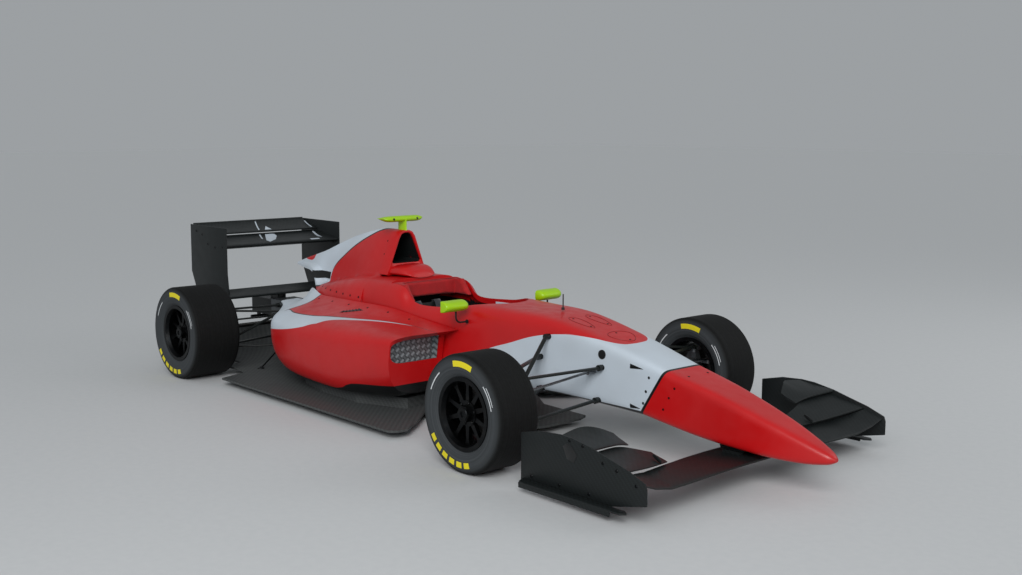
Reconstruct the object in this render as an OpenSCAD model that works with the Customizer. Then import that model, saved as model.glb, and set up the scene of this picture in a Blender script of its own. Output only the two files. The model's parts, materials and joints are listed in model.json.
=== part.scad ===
// Open wheel single seat racing car, in millimetres.
// X points forward, Y to the car's left and Z up; the origin is on the ground under the middle of the car.
// Shapes are drawn from the front axle: x = 0 there, and the rear axle is at x = -wheelbase.

/* [Overall] */
// Distance between the front and rear axles
wheelbase = 2880; // [2800:10:3000]
// Front axle to the tip of the nose
nose_reach = 1430; // [1400:5:1500]
// Rear axle to the back edge of the rear wing
tail_reach = 685; // [670:5:720]
// Width over the tyres
overall_w = 1885; // [1860:5:1910]

/* [Wheels] */
// Outside diameter of the front tyres
front_tyre_d = 575; // [565:1:590]
// Outside diameter of the rear tyres
rear_tyre_d = 590; // [580:1:600]
// Width of the front tyres
front_tyre_w = 250; // [240:1:260]
// Width of the rear tyres
rear_tyre_w = 315; // [300:1:325]
// Diameter of the bead seat of the rims
rim_d = 330; // [320:1:340]
// Number of spokes in a rim
spokes = 10; // [8:1:12]
// Diameter of the wheel axles
axle_d = 60; // [54:1:64]
// Diameter of the brake discs
disc_d = 278; // [250:1:280]

/* [Monocoque] */
// Width of the monocoque beside the cockpit
tub_w = 600; // [580:2:620]
// Width of the monocoque at the nose joint
tub_front_w = 300; // [280:2:320]
// Height of the scuttle in front of the cockpit
scuttle_z = 655; // [640:1:670]
// Height of the cockpit side walls
cockpit_wall_z = 718; // [700:1:740]
// Front axle to the rear bulkhead
tub_back = 1740; // [1720:5:1760]
// Height of the keel at the front axle
keel_z = 245; // [235:1:255]
// Thickness of the monocoque's wall
tub_wall = 22; // [18:1:26]
// Width of the cockpit opening
cockpit_w = 470; // [450:2:490]

/* [Floor] */
// Height of the floor's upper face
floor_z = 50; // [46:1:56]
// Thickness of the floor
floor_t = 12; // [8:1:14]
// Thickness of the skid plank under the floor
plank_t = 12; // [8:1:14]
// Width of the floor
floor_w = 1650; // [1600:5:1680]

/* [Bodywork] */
// Height of the top of the air intake
intake_z = 990; // [970:1:1010]
// Half width over a sidepod, from the middle of the car
pod_reach = 690; // [670:2:710]
// Height of the sidepods at their front
pod_z = 503; // [490:1:515]
// Thickness of the bodywork's skin
skin_t = 8; // [6:1:12]

/* [Wings] */
// Width of the front wing over its end plates
front_wing_w = 1780; // [1740:5:1800]
// Width of the rear wing over its end plates
rear_wing_w = 912; // [880:2:950]
// Height of the rear wing
rear_wing_z = 928; // [910:1:950]
// Chord of the rear wing's end plates
rear_plate_l = 500; // [480:5:520]
// Thickness of the end plates
plate_t = 8; // [6:1:10]

/* [Suspension and steering] */
// Kingpin to the middle of the front wheel
kingpin_offset = 72; // [68:1:76]
// Steering arm, from the kingpin to the track rod's end
steering_arm = 105; // [98:1:110]
// Height of the front wishbones' joints above and below the axle
front_joint = 112; // [106:1:114]
// Height of the rear wishbones' joints above and below the axle
rear_joint = 112; // [106:1:114]
// Chord of the wishbones' tubes
tube_chord = 34; // [28:1:38]
// Thickness of the wishbones' tubes
tube_t = 14; // [12:1:15]
// Diameter of the steering wheel's grip circle
steering_wheel_d = 264; // [250:2:276]

/* [Hidden] */
// Gap between pieces that turn or seat on each other
gap = 0.3;
facets = 28;
front_axle = (wheelbase + nose_reach + tail_reach) / 2 - nose_reach;
rear = -wheelbase;
front_r = front_tyre_d / 2;
rear_r = rear_tyre_d / 2;
front_y = (overall_w - front_tyre_w) / 2;
rear_y = (overall_w - rear_tyre_w) / 2;
rim_r = rim_d / 2;
axle_r = axle_d / 2;
plank_z = floor_z - floor_t - plank_t;

// Lofts

// A value at t between b and c on a smooth curve through four neighbours
function blend(a, b, c, d, t) =
    b + (c - a) * t / 2 + (a - 2.5 * b + 2 * c - d / 2) * t * t + (1.5 * (b - c) + (d - a) / 2) * t * t * t;

// A table's rows with smooth steps between them
function smooth(rows, steps) = [
    for (i = [0 : len(rows) - 2])
        for (k = [0 : steps - 1])
            [for (j = [0 : len(rows[i]) - 1])
                blend(rows[max(i - 1, 0)][j], rows[i][j], rows[i + 1][j],
                    rows[min(i + 2, len(rows) - 1)][j], k / steps)],
    rows[len(rows) - 1]
];

// One column of a table against x, for lookup
function column(rows, j) = [for (r = rows) [r[0], r[j]]];

function signed_pow(v, e) = sign(v) * pow(abs(v), e);

// A rounded trapezium. Columns: x, half width at the bottom, half width at the top,
// bottom z, top z, squareness, rake of the section from bottom to top.
function box_ring(r, n = facets) = [
    for (i = [0 : n - 1])
        let (
            a = 360 * (i + 0.5) / n,
            v = signed_pow(cos(a), 2 / r[5]),
            t = (signed_pow(sin(a), 2 / r[5]) + 1) / 2)
            [r[0] + r[6] * (t - 0.5), v * (r[1] + (r[2] - r[1]) * t), r[3] + (r[4] - r[3]) * t]
];

// A closed solid through rings that run backwards along X; the ends of a thin shell are closed strip by strip
module skin(rings, shell = false) {
    n = len(rings[0]);
    m = len(rings);
    last = (m - 1) * n;
    front = shell
        ? [for (i = [0 : n / 2 - 2]) [n - 1 - i, n - 2 - i, i + 1, i]]
        : [[for (i = [n - 1 : -1 : 0]) i]];
    back = shell
        ? [for (i = [0 : n / 2 - 2]) [last + i, last + i + 1, last + n - 2 - i, last + n - 1 - i]]
        : [[for (i = [0 : n - 1]) last + i]];
    sides = [for (k = [0 : m - 2]) for (i = [0 : n - 1])
        let (a = k * n + i, b = k * n + (i + 1) % n)
            each [[a, b, b + n], [a, b + n, a + n]]];
    polyhedron(points = [for (r = rings) each r], faces = concat(front, back, sides), convexity = 10);
}

// An aerofoil at one y, nose to the front. Columns: y, leading edge x, leading edge z, chord,
// angle of its tail above its nose, thickness over chord, hollow over chord.
function wing_ring(r, n = 10) = [
    for (i = [0 : 2 * n - 1])
        let (
            upper = i < n,
            s = upper ? pow(1 - i / n, 1.6) : pow((i - n) / (n - 1), 1.6),
            half = r[3] * (r[5] * 2.6 * sqrt(s) * (1 - s) + 0.006),
            mid = -4 * r[6] * r[3] * s * (1 - s),
            h = mid + (upper ? half : -half),
            c = s * r[3])
            [r[1] - c * cos(r[4]) + h * sin(r[4]), r[0], r[2] + c * sin(r[4]) + h * cos(r[4])]
];

// A closed solid through aerofoils that run from left to right
module wing(rows) {
    skin([for (r = rows) wing_ring(r)]);
}

// A wing of one aerofoil from side to side; the row is as for wing_ring
module straight_wing(r) {
    translate([0, r[0], 0]) rotate([90, 0, 0]) linear_extrude(2 * r[0])
        polygon([for (p = wing_ring(r)) [p[0], p[2]]]);
}

// Small solids

module both_sides() {
    children();
    mirror([0, 1, 0]) children();
}

// A cylinder along Y from y0 to y1
module y_cylinder(x, z, y0, y1, r) {
    translate([x, min(y0, y1), z]) rotate([-90, 0, 0]) cylinder(r = r, h = abs(y1 - y0), $fn = 40);
}

function unit(v) = v / norm(v);

// A streamlined tube from p to q, its chord along the car
module tube(p, q, chord = tube_chord, thick = tube_t) {
    d = unit(q - p);
    c = unit([1, 0, 0] - d[0] * d);
    t = cross(d, c);
    multmatrix([[c[0], t[0], d[0], p[0]], [c[1], t[1], d[1], p[1]], [c[2], t[2], d[2], p[2]], [0, 0, 0, 1]])
        linear_extrude(norm(q - p))
            polygon([for (a = [0 : 24 : 336]) [chord / 2 * cos(a), thick / 2 * sin(a)]]);
}

// Monocoque

nose_joint_x = 490;
nose_joint_rake = 140;
nose_joint_bottom = 236;
nose_joint_top = 474;
tub_half = tub_w / 2;
tub_front_half = tub_front_w / 2;
tub_floor_z = floor_z + gap;
// Where the cockpit's low rim ends and its side walls rise
cockpit_step = 1230;
// Rise of the tub's bottom under the driver's heels and seat
heel_rise = 2;

tub_rows = [
    [nose_joint_x, tub_front_half + 6, tub_front_half - 10, nose_joint_bottom, nose_joint_top, 9,
        nose_joint_rake],
    [160, tub_front_half + 32, tub_front_half + 22, keel_z, scuttle_z - 86, 8, 50],
    [-200, tub_front_half + 55, tub_front_half + 50, keel_z, scuttle_z - 12, 7, 0],
    [-520, tub_half - 66, tub_half - 72, keel_z - 40, scuttle_z, 6, 0],
    [-820, tub_half - 32, tub_half - 42, keel_z - 130, scuttle_z, 6, 0],
    [-cockpit_step, tub_half - 7, tub_half - 15, tub_floor_z + heel_rise + 6, scuttle_z - 33, 6, 0],
    [-cockpit_step - 140, tub_half - 1.5, tub_half - 11, tub_floor_z + heel_rise, cockpit_wall_z - 10, 6, 0],
    [-1560, tub_half, tub_half - 16, tub_floor_z, cockpit_wall_z, 6, 0],
    [-tub_back, tub_half, tub_half - 26, tub_floor_z, cockpit_wall_z - 8, 6, 0]
];
tub_smooth = smooth(tub_rows, 3);

// Half width of the monocoque at x and z
function tub_y(x, z) =
    let (
        bottom = lookup(x, column(tub_smooth, 1)), top = lookup(x, column(tub_smooth, 2)),
        z0 = lookup(x, column(tub_smooth, 3)), z1 = lookup(x, column(tub_smooth, 4)),
        n = lookup(x, column(tub_smooth, 5)), t = (z - z0) / (z1 - z0))
        (bottom + (top - bottom) * t) * pow(1 - pow(abs(2 * t - 1), n), 1 / n);

cockpit_front = 640;
cockpit_back = 1500;
cockpit_taper = 330;
footwell_front = 330;
dash_front = 610;
dash_t = 40;
dash_bottom_z = 440;

// Outline of the cockpit opening, shrunk by a margin
function cockpit_outline(margin) = concat(
    [for (a = [90 : -10 : -90])
        [-cockpit_front - cockpit_taper + (cockpit_taper - margin) * cos(a),
            (cockpit_w / 2 - margin) * sin(a)]],
    [[-cockpit_back + margin, -cockpit_w / 2 + margin], [-cockpit_back + margin, cockpit_w / 2 - margin]]);

// Inside of the monocoque, from the pedals to the seat back
module tub_inside() {
    inner = [for (r = tub_smooth) if (r[0] < footwell_front && r[0] > -tub_back + 60)
        [r[0], r[1] - tub_wall, r[2] - tub_wall, r[3] + tub_wall, r[4] - tub_wall, r[5], 0]];
    skin([for (r = inner) box_ring(r, 24)]);
}

module monocoque() {
    color("firebrick") difference() {
        union() {
            skin([for (r = tub_smooth) box_ring(r)]);
            both_sides() tub_pads();
        }
        difference() {
            tub_inside();
            translate([-dash_front - dash_t, -tub_half, dash_bottom_z]) cube([dash_t, tub_w, scuttle_z]);
        }
        translate([0, 0, scuttle_z - 120]) linear_extrude(300) polygon(cockpit_outline(0));
        steering_column(gap);
        y_cylinder(rack_x, rack_z, -tub_half, tub_half, rack_r + gap);
    }
}

// Nose cone with the pylons of the front wing

nose_tip_z = 198;
pylon_x0 = 850;
pylon_x1 = 1010;
pylon_y = 62;
pylon_t = 9;
wing_pad_z = 150;
wing_pad_t = 24;

nose_rows = [
    concat([nose_joint_x + gap], [for (j = [1 : 6]) tub_rows[0][j]]),
    [800, tub_front_half - 12, tub_front_half - 30, 186, 412, 8, 70],
    [1080, tub_front_half - 46, tub_front_half - 50, 160, 337, 6, 24],
    [nose_reach - 160, 76, 70, 158, 279, 4.2, 0],
    [nose_reach - 40, 44, 38, nose_tip_z - 27, nose_tip_z + 34, 2.8, 0],
    [nose_reach, 14, 12, nose_tip_z - 10, nose_tip_z + 8, 2.2, 0]
];
nose_smooth = smooth(nose_rows, 3);

module nose_cone() {
    color("firebrick") {
        skin([for (i = [len(nose_smooth) - 1 : -1 : 0]) box_ring(nose_smooth[i])]);
        both_sides() translate([0, pylon_y + pylon_t, 0]) rotate([90, 0, 0]) linear_extrude(pylon_t)
            polygon([[pylon_x0, wing_pad_z], [pylon_x1 - 30, wing_pad_z], [pylon_x1, wing_pad_z + 30],
                [pylon_x1, 230], [pylon_x0 - 40, 250]]);
    }
}

// Roll hoop with the engine's air intake

hoop_front = 1655;
hoop_w = 300;
hoop_wall = 16;
intake_floor_z = 790;

module roll_hoop() {
    base = cockpit_wall_z + 1.5;
    // Columns as for box_ring
    outer = [
        [-cockpit_back - 10, 112, 76, base, base + 44, 2.6, -18],
        [-cockpit_back - 66, 136, 102, base, intake_floor_z - 3, 2.8, -16],
        [-hoop_front - 8, hoop_w / 2 - 4, 112, base, intake_floor_z - 6, 3, -20]
    ];
    color("firebrick") {
        skin([for (r = smooth(outer, 3)) box_ring(r, 20)]);
        difference() {
            hoop_block(0, base);
            hoop_block(hoop_wall, intake_floor_z);
        }
    }
}

// The hoop's wedge, shrunk all round by a margin and standing on a base
module hoop_block(margin, base) {
    slope = (hoop_w / 2 - 62) / (intake_z - cockpit_wall_z);
    low = hoop_w / 2 - margin - slope * (base - cockpit_wall_z);
    high = 62 - margin;
    top = intake_z - margin;
    extra = margin > 0 ? 1 : 0;
    translate([-tub_back + gap - extra, 0, 0]) rotate([90, 0, 90])
        linear_extrude(tub_back - hoop_front + 2 * extra)
            polygon([[-low, base], [low, base], [high + 6, top - 40], [high - 14, top - 10], [high - 40, top],
                [40 - high, top], [14 - high, top - 10], [-high - 6, top - 40]]);
}

// Engine cover, an open shell that carries the line of the intake back to a pointed tail

// Columns: x, half width of the shoulders, shoulder z, half width of the spine at its foot,
// half width of the spine at its crest, bottom z, crest z.
cover_rows = [
    [-tub_back - gap, tub_half - 26, cockpit_wall_z - 8, hoop_w / 2 + 20, 70, 480, intake_z],
    [-1900, tub_half - 32, cockpit_wall_z - 18, 165, 62, 480, intake_z - 6],
    [-2150, tub_half - 62, 655, 135, 44, 480, intake_z - 62],
    [rear + 540, tub_half - 104, 610, 106, 32, 492, 866],
    [rear + 430, tub_half - 164, 610, 82, 26, 550, 826],
    [rear + 320, 92, 690, 64, 20, 652, 788],
    [rear + 130, 40, 696, 34, 14, 666, 734],
    [rear - 10, 9, 684, 8, 6, 674, 690]
];

cover_smooth = smooth(cover_rows, 3);

// Half width of the cover's foot at x
function cover_foot(x) =
    pow(pow(lookup(x, column(cover_smooth, 1)), 3) + pow(lookup(x, column(cover_smooth, 3)), 3), 1 / 3);

// Half width of the cover at height z
function cover_y(r, z) =
    let (
        s = min(1, max(0, (z - r[5]) / (r[6] - r[5]))), h = min(1, max(0, (z - r[5]) / (r[2] - r[5]))),
        spine = (r[3] + (r[4] - r[3]) * s) * pow(1 - pow(s, 5), 0.4), hump = r[1] * pow(1 - pow(h, 4), 0.3))
        pow(pow(spine, 3) + pow(hump, 3), 1 / 3);

// Heights of a ring's points, close together at the shoulder and the crest
cover_steps = [0, 0.12, 0.24, 0.33, 0.40, 0.47, 0.56, 0.68, 0.80, 0.89, 0.95, 0.985, 1];

function cover_side(r) = [for (t = cover_steps)
    let (z = r[5] + t * (r[6] - r[5])) [cover_y(r, z), z]];

// A row of the cover's inside, a skin's thickness in
function cover_inside(r) = [
    r[0], max(r[1] / 2, r[1] - skin_t), r[2] - min(skin_t, (r[2] - r[5]) / 3),
    max(r[3] / 2, r[3] - skin_t), max(r[4] / 2, r[4] - skin_t), r[5], r[6] - min(skin_t, (r[6] - r[5]) / 3)
];

function cover_ring(r) =
    let (outside = cover_side(r), inside = cover_side(cover_inside(r)), k = len(cover_steps))
        concat(
            [for (p = outside) [r[0], p[0], p[1]]],
            [for (i = [k - 2 : -1 : 0]) [r[0], -outside[i][0], outside[i][1]]],
            [for (p = inside) [r[0], -p[0], p[1]]],
            [for (i = [k - 2 : -1 : 0]) [r[0], inside[i][0], inside[i][1]]]);

// Slot for hot air, between the cover's tail and its lower edge
slot_front = rear + 485;
slot_back = rear + 300;
slot_z = 622;
slot_h = 46;

module engine_cover() {
    color("firebrick") difference() {
        skin([for (r = cover_smooth) cover_ring(r)], shell = true);
        translate([slot_back, -tub_half, slot_z]) cube([slot_front - slot_back, tub_w, slot_h]);
    }
}

// Sidepods, hollow behind their inlets

pod_bottom = 115;
pod_in = tub_half + gap;
pod_front = 950;
// Gap between the sidepods and the bodies beside them, where they don't seat
pod_gap = 8;
// Gap at a pod's mouth, whose lip leans in to the tub
pod_lip_gap = 9.7;
// Height over which the lip above the inlet fades out
lip_z = 34;

// Columns: x, inner y, outer y, outer y of the underside, bottom z, z of the widest line, top z,
// z of the inner edge, squareness of the top, squareness of the underside, lean forward per mm of height,
// forward reach of the top lip.
pod_rows = [
    [-pod_front, tub_y(-pod_front, 400) + pod_lip_gap, pod_reach - 34, 450, 160, 415, pod_z, pod_z + 6,
        4.5, 2.6, 0.16, 100],
    [-1080, tub_y(-1080, 400) + pod_gap, pod_reach - 14, 490, 122, 400, pod_z + 8, pod_z + 28, 4, 2.4, 0.1,
        0],
    [-1400, pod_in, pod_reach, 600, pod_bottom, 360, pod_z + 14, pod_z + 64, 3.4, 2.4, 0, 0],
    [-1750, pod_in, pod_reach, 596, pod_bottom, 352, pod_z + 10, pod_z + 64, 3, 2.4, 0, 0],
    [-2050, cover_foot(-2050) + pod_gap, pod_reach - 24, 550, 125, 352, pod_z, pod_z + 56, 3, 2.4, 0, 0],
    [rear + 630, cover_foot(rear + 630) + pod_gap, pod_reach - 80, 480, 180, 372, pod_z - 12, pod_z + 50,
        3, 2.4, 0, 0],
    [rear + 460, cover_foot(rear + 500) + pod_gap, pod_reach - 230, 370, 320, 408, pod_z - 24, pod_z + 70,
        3, 2.4, 0, 0],
    [rear + 280, tub_half - 180, pod_reach - 380, 260, 426, 444, pod_z - 36, pod_z - 26, 3, 2.4, 0, 0],
    [rear + 120, tub_half - 200, pod_reach - 465, 205, 436, 446, pod_z - 46, pod_z - 44, 3, 2.4, 0, 0]
];
pod_inlet_z = 340;
pod_duct_end = rear + 700;

function pod_ring(r) =
    let (
        top = [for (a = [0 : 11.25 : 90])
            let (c = pow(max(0, cos(a)), 2 / r[8]), s = pow(sin(a), 2 / r[8]))
                [r[1] + (r[2] - r[1]) * c, r[5] + (r[6] - r[5]) * s + (r[7] - r[6]) * pow(1 - c, 4)]],
        inner = [for (t = [0.4, 0.75]) [r[1], r[7] + (r[4] - r[7]) * t]],
        under = [for (a = [-90 : 15 : -15])
            let (c = pow(max(0, cos(a)), 2 / r[9]), s = pow(-sin(a), 2 / r[9]))
                [r[3] + (r[2] - r[3]) * c, r[5] - (r[5] - r[4]) * s]])
        [for (p = concat(top, inner, [[r[1], r[4]]], under))
            let (
                in_lip = max(0, 1 - max(0, r[6] - p[1]) / lip_z),
                inboard = (r[2] - p[0]) / (r[2] - r[1]))
                [r[0] + r[10] * (p[1] - 400) + r[11] * in_lip * (0.3 + 0.7 * inboard),
                    p[0] - r[11] * in_lip * 0.2 * pow(inboard, 4), p[1]]];

// A row of the sidepod's inside, a skin's thickness in
function pod_inside(r) = [
    r[0], r[1] + skin_t, r[2] - skin_t, r[3] - skin_t, r[4] + skin_t, r[5], r[6] - skin_t, r[7] - skin_t,
    r[8], r[9], r[10], 0
];

module sidepod() {
    outer = smooth(pod_rows, 3);
    front = pod_rows[0];
    inner = front[1] + 34;
    inlet_top = front[6] - 32;
    inlet = [front[0], inner, front[2] - 8, front[3] + 90, pod_inlet_z, 420, inlet_top, inlet_top, 4, 3,
        front[10], 0];
    throat = [front[0] - 110, inner, front[2] - 14, front[3] + 110, pod_inlet_z - 15, 400, inlet_top + 4,
        inlet_top + 4, 4, 2.6, 0, 0];
    inside = [for (r = outer) if (r[0] < -1200 && r[0] > pod_duct_end) pod_inside(r)];
    rings = concat([for (i = [len(inside) - 1 : -1 : 0]) inside[i]], [throat, inlet], outer);
    skin([for (r = rings) pod_ring(r)]);
}

module sidepod_left() { color("firebrick") sidepod(); }
module sidepod_right() { color("firebrick") mirror([0, 1, 0]) sidepod(); }

// Floor, skid plank and diffuser

floor_half = floor_w / 2;
floor_back = rear + 20;
tray_half = 200;
diffuser_half = 480;
diffuser_l = 480;
diffuser_rise = 150;
strakes = 3;

module floor() {
    corner = 60;
    half = concat(
        [[-270, tray_half - 70], [-300, tray_half], [-650, tray_half + 15], [-950, 410], [-815, 565]],
        [[-694, floor_half - 100]],
        [for (a = [0 : 15 : 90]) [-700 - corner + corner * cos(a), floor_half - corner + corner * sin(a)]],
        [[rear + 390, floor_half], [rear + 330, 640], [rear + 290, 606], [floor_back, 606]]);
    color("dimgray") {
        translate([0, 0, floor_z - floor_t]) linear_extrude(floor_t)
            polygon(concat(half, [for (i = [len(half) - 1 : -1 : 0]) [half[i][0], -half[i][1]]]));
        both_sides() translate([0, 0, floor_z - 2]) linear_extrude(pod_bottom - 5 - floor_z + 2)
            polygon([[-1090, pod_in + 4], [-1060, 450], [-1380, 575], [-1750, 568], [-2030, 505],
                [-2050, pod_in + 4]]);
    }
}

module skid_plank() {
    color("saddlebrown") translate([0, 0, plank_z]) linear_extrude(plank_t)
        polygon([[-340, 110], [-340, -110], [-400, -150], [floor_back + 60, -150], [floor_back + 60, 150],
            [-400, 150]]);
}

// Height of the diffuser's roof above the floor at a distance behind its front
function diffuser_z(d) = floor_z + diffuser_rise * pow(d / diffuser_l, 2);

module diffuser() {
    roof = [for (d = [0 : diffuser_l / 10 : diffuser_l]) [floor_back - d, diffuser_z(d)]];
    belly = [for (i = [10 : -1 : 0]) [roof[i][0], roof[i][1] - floor_t]];
    color("dimgray") {
        translate([0, diffuser_half, 0]) rotate([90, 0, 0]) linear_extrude(2 * diffuser_half)
            polygon(concat(roof, belly));
        both_sides() for (i = [1 : strakes])
            translate([0, diffuser_half * i / strakes, 0]) rotate([90, 0, 0]) linear_extrude(6)
                polygon(concat(
                    [for (k = [2 : 10]) roof[k] - [0, 2]],
                    [[floor_back - diffuser_l, 70], [roof[2][0], floor_z - floor_t]]));
    }
}

// Front wing

front_half = front_wing_w / 2;
front_span = front_half - plate_t;

// Columns as for wing_ring, from the end plate inwards
main_rows = [
    [front_span, 1112, 182, 104, 19, 0.06, 0.03],
    [800, 1106, 154, 140, 14, 0.06, 0.03],
    [690, 1096, 132, 172, 11, 0.06, 0.035],
    [560, 1084, 128, 190, 9, 0.06, 0.035],
    [420, 1074, 128, 215, 5, 0.055, 0.03],
    [250, 1066, 129, 250, 1, 0.05, 0.02],
    [120, 1062, 129, 262, 0, 0.05, 0.02]
];
flap_rows = [
    [
        [front_span, 1006, 218, 196, 12.5, 0.05, 0.04],
        [700, 952, 190, 190, 17, 0.05, 0.05],
        [600, 924, 178, 146, 19, 0.05, 0.05],
        [490, 890, 166, 100, 15, 0.05, 0.04]
    ],
    [
        [front_span, 824, 276, 204, 7, 0.05, 0.04],
        [760, 800, 266, 196, 14, 0.05, 0.05],
        [690, 786, 257, 150, 20, 0.05, 0.05],
        [620, 776, 242, 100, 22, 0.05, 0.05]
    ]
];

// A table of one side's rows, carried across to the other side
function across(rows) = concat(
    rows,
    [for (i = [len(rows) - 1 : -1 : 0]) concat([-rows[i][0]], [for (j = [1 : 6]) rows[i][j]])]);

module front_wing_plane() {
    color("dimgray") {
        wing(across(main_rows));
        both_sides() translate([pylon_x0 + 20, pylon_y - 8, wing_pad_z - wing_pad_t])
            cube([pylon_x1 - pylon_x0 - 60, pylon_t + 16, wing_pad_t]);
    }
}

module front_wing_flaps() {
    color("dimgray") both_sides() for (rows = flap_rows) wing(smooth(rows, 3));
}

foot_z = 50;
foot_lip_x = 400;
foot_lip_l = 560;
foot_lip_h = 24;

module front_wing_plates() {
    // Outline of a plate from the side, and of the foot along its lower edge from above
    plate = [[370, foot_z], [900, foot_z], [1127, 101], [1127, 170], [1118, 194], [1021, 230], [910, 258],
        [819, 282], [700, 302], [622, 306], [500, 298], [370, 268]];
    foot = [[380, -2], [1010, -2], [1040, 20], [1020, 44], [440, 50], [400, 40]];
    color("dimgray") both_sides() {
        translate([0, front_half, 0]) rotate([90, 0, 0]) linear_extrude(plate_t) polygon(plate);
        translate([0, front_half, foot_z]) linear_extrude(plate_t) polygon(foot);
        translate([foot_lip_x, front_half + foot[3][1] - plate_t, foot_z + 2 - foot_lip_h])
            cube([foot_lip_l, plate_t, foot_lip_h]);
    }
}

// Rear wing

rear_half = rear_wing_w / 2;
rear_span = rear_half - plate_t;
rear_plate_x = rear - tail_reach + rear_plate_l;

rear_chord = 300;
rear_flap_chord = 205;

module rear_wing_planes() {
    main_z = rear_wing_z - 124;
    color("dimgray") {
        straight_wing([rear_span, rear_plate_x - 6, main_z, rear_chord, 9, 0.06, 0.07]);
        straight_wing([rear_span, rear_plate_x - 280, main_z + 62, rear_flap_chord, 17, 0.05, 0.07]);
    }
}

module rear_wing_plates() {
    back = rear - tail_reach;
    color("dimgray") both_sides() translate([0, rear_half, 0]) rotate([90, 0, 0]) linear_extrude(plate_t)
        polygon([[back, rear_wing_z], [rear_plate_x, rear_wing_z], [rear_plate_x, 620],
            [rear_plate_x + 20, 470], [rear_plate_x - 10, 410], [back + 130, 400], [back + 90, 430],
            [back, 600]]);
}

crash_back = rear - 560;
crash_half = 55;
crash_top = 400;
crash_bottom = 285;
gearbox_back = rear - 230;

module beam_wing() {
    le = rear - 170;
    color("dimgray") {
        straight_wing([rear_span, le, crash_top + 55, 190, 10, 0.06, 0.06]);
        both_sides() translate([gearbox_back - 110, 20, crash_top]) cube([100, 12, 66]);
    }
}

// Fittings on the body

camera_bar_h = 68;
camera_stalk_half = 41;
camera_stalk_t = 20;

module camera_pod() {
    pod_x = -tub_back + 40;
    bar_z = intake_z + camera_bar_h;
    // Columns as for wing_ring
    pod = [
        [150, pod_x + 8, bar_z + 4, 62, 0, 0.04, 0],
        [120, pod_x + 30, bar_z, 100, 0, 0.15, 0],
        [40, pod_x + 40, bar_z, 110, 0, 0.16, 0]
    ];
    color("yellow") {
        wing(smooth(across(pod), 2));
        translate([-(tub_back + hoop_front) / 2, 0, intake_z]) linear_extrude(camera_bar_h - 2)
            polygon([for (a = [0 : 24 : 336]) [camera_stalk_half * cos(a), camera_stalk_t / 2 * sin(a)]]);
    }
}

headrest_z = 600;
headrest_top = cockpit_wall_z - 18;
headrest_t = 40;
headrest_front = 1290;
headrest_slope = 82;

// Pads round the driver's head, level with the cockpit's walls and sloped at their front ends
module headrest() {
    side = [[-cockpit_back, headrest_z], [-headrest_front, headrest_z],
        [-headrest_front - headrest_slope, headrest_top], [-cockpit_back, headrest_top]];
    color("firebrick") intersection() {
        translate([0, 0, headrest_z]) linear_extrude(headrest_top - headrest_z) difference() {
            polygon(cockpit_outline(gap));
            translate([-cockpit_back + headrest_t + 30, -cockpit_w / 2 + headrest_t])
                square([cockpit_back, cockpit_w - 2 * headrest_t]);
        }
        translate([0, tub_half, 0]) rotate([90, 0, 0]) linear_extrude(tub_w) polygon(side);
    }
}

seat_w = 280;
seat_t = 22;
seat_top = 560;
seat_wing_t = 34;
seat_back_x = -cockpit_back + 30;

module seat() {
    low = tub_floor_z + heel_rise + tub_wall + 2.2;
    heel = cockpit_back - 210;
    front = heel - 280;
    back = [[-heel, low], [-heel - 90, low], [seat_back_x - 10, seat_top],
        [seat_back_x + seat_t - 10, seat_top + 6],
        [-heel - 84 + seat_t, low + 40]];
    pan = [[-front, low + 120], [-front, low + 98], [-heel + 60, low + 8], [-heel, low],
        [-heel - 40, low + 34], [-heel + 60, low + 34]];
    color("dimgray") {
        translate([0, seat_w / 2, 0]) rotate([90, 0, 0]) linear_extrude(seat_w) union() {
            polygon(back);
            polygon(pan);
        }
        both_sides() translate([0, seat_w / 2 + 30, 0]) rotate([90, 0, 0]) linear_extrude(seat_wing_t)
            polygon([[-heel - 70, low + 150], [seat_back_x - 10, seat_top], [seat_back_x + 90, seat_top - 30],
                [-heel + 10, low + 170]]);
    }
}

mirror_x = -786;
mirror_z = 656;
mirror_foot_x = mirror_x + 23;
mirror_foot_z = 564;

// Columns: y, depth, half height
mirror_rows = [[430, 38, 28], [424, 52, 31], [386, 60, 31], [306, 62, 31], [276, 50, 28], [266, 16, 14]];

function mirror_ring(r) = [for (a = [90 : 15 : 270])
    [mirror_x - r[1] * cos(a), r[0], mirror_z + r[2] * sin(a)]];

module mirror_housings() {
    color("yellow") both_sides() skin([for (r = mirror_rows) mirror_ring(r)]);
}

module mirror_glasses() {
    color("silver") both_sides() translate([mirror_x - 2, 286, mirror_z - 22]) cube([2, 130, 44]);
}

mirror_stalk_y = 342;
mirror_stalk_r = 5;
mirror_stalk_bend = 34;

module mirror_stalks() {
    foot_y = pad_y([mirror_foot_x, mirror_foot_z]);
    bend_y = mirror_stalk_y - mirror_stalk_bend;
    bend_z = mirror_foot_z + mirror_stalk_bend;
    housing = mirror_rows[2];
    behind = (mirror_foot_x - mirror_stalk_r - mirror_x) / housing[1];
    top = mirror_z - housing[2] * sqrt(1 - behind * behind) - gap;
    color("black") both_sides() {
        y_cylinder(mirror_foot_x, mirror_foot_z, foot_y, foot_y + 6, 11);
        y_cylinder(mirror_foot_x, mirror_foot_z, foot_y, bend_y, mirror_stalk_r);
        translate([mirror_foot_x, bend_y, bend_z]) rotate([90, 0, 90])
            rotate([0, 0, -90]) rotate_extrude(angle = 90, $fn = 48)
                translate([mirror_stalk_bend, 0]) circle(r = mirror_stalk_r, $fn = 24);
        translate([mirror_foot_x, mirror_stalk_y, bend_z])
            cylinder(r = mirror_stalk_r, h = top - bend_z, $fn = 24);
    }
}

antenna_x = -281;
antenna_foot_z = scuttle_z + 4;

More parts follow.
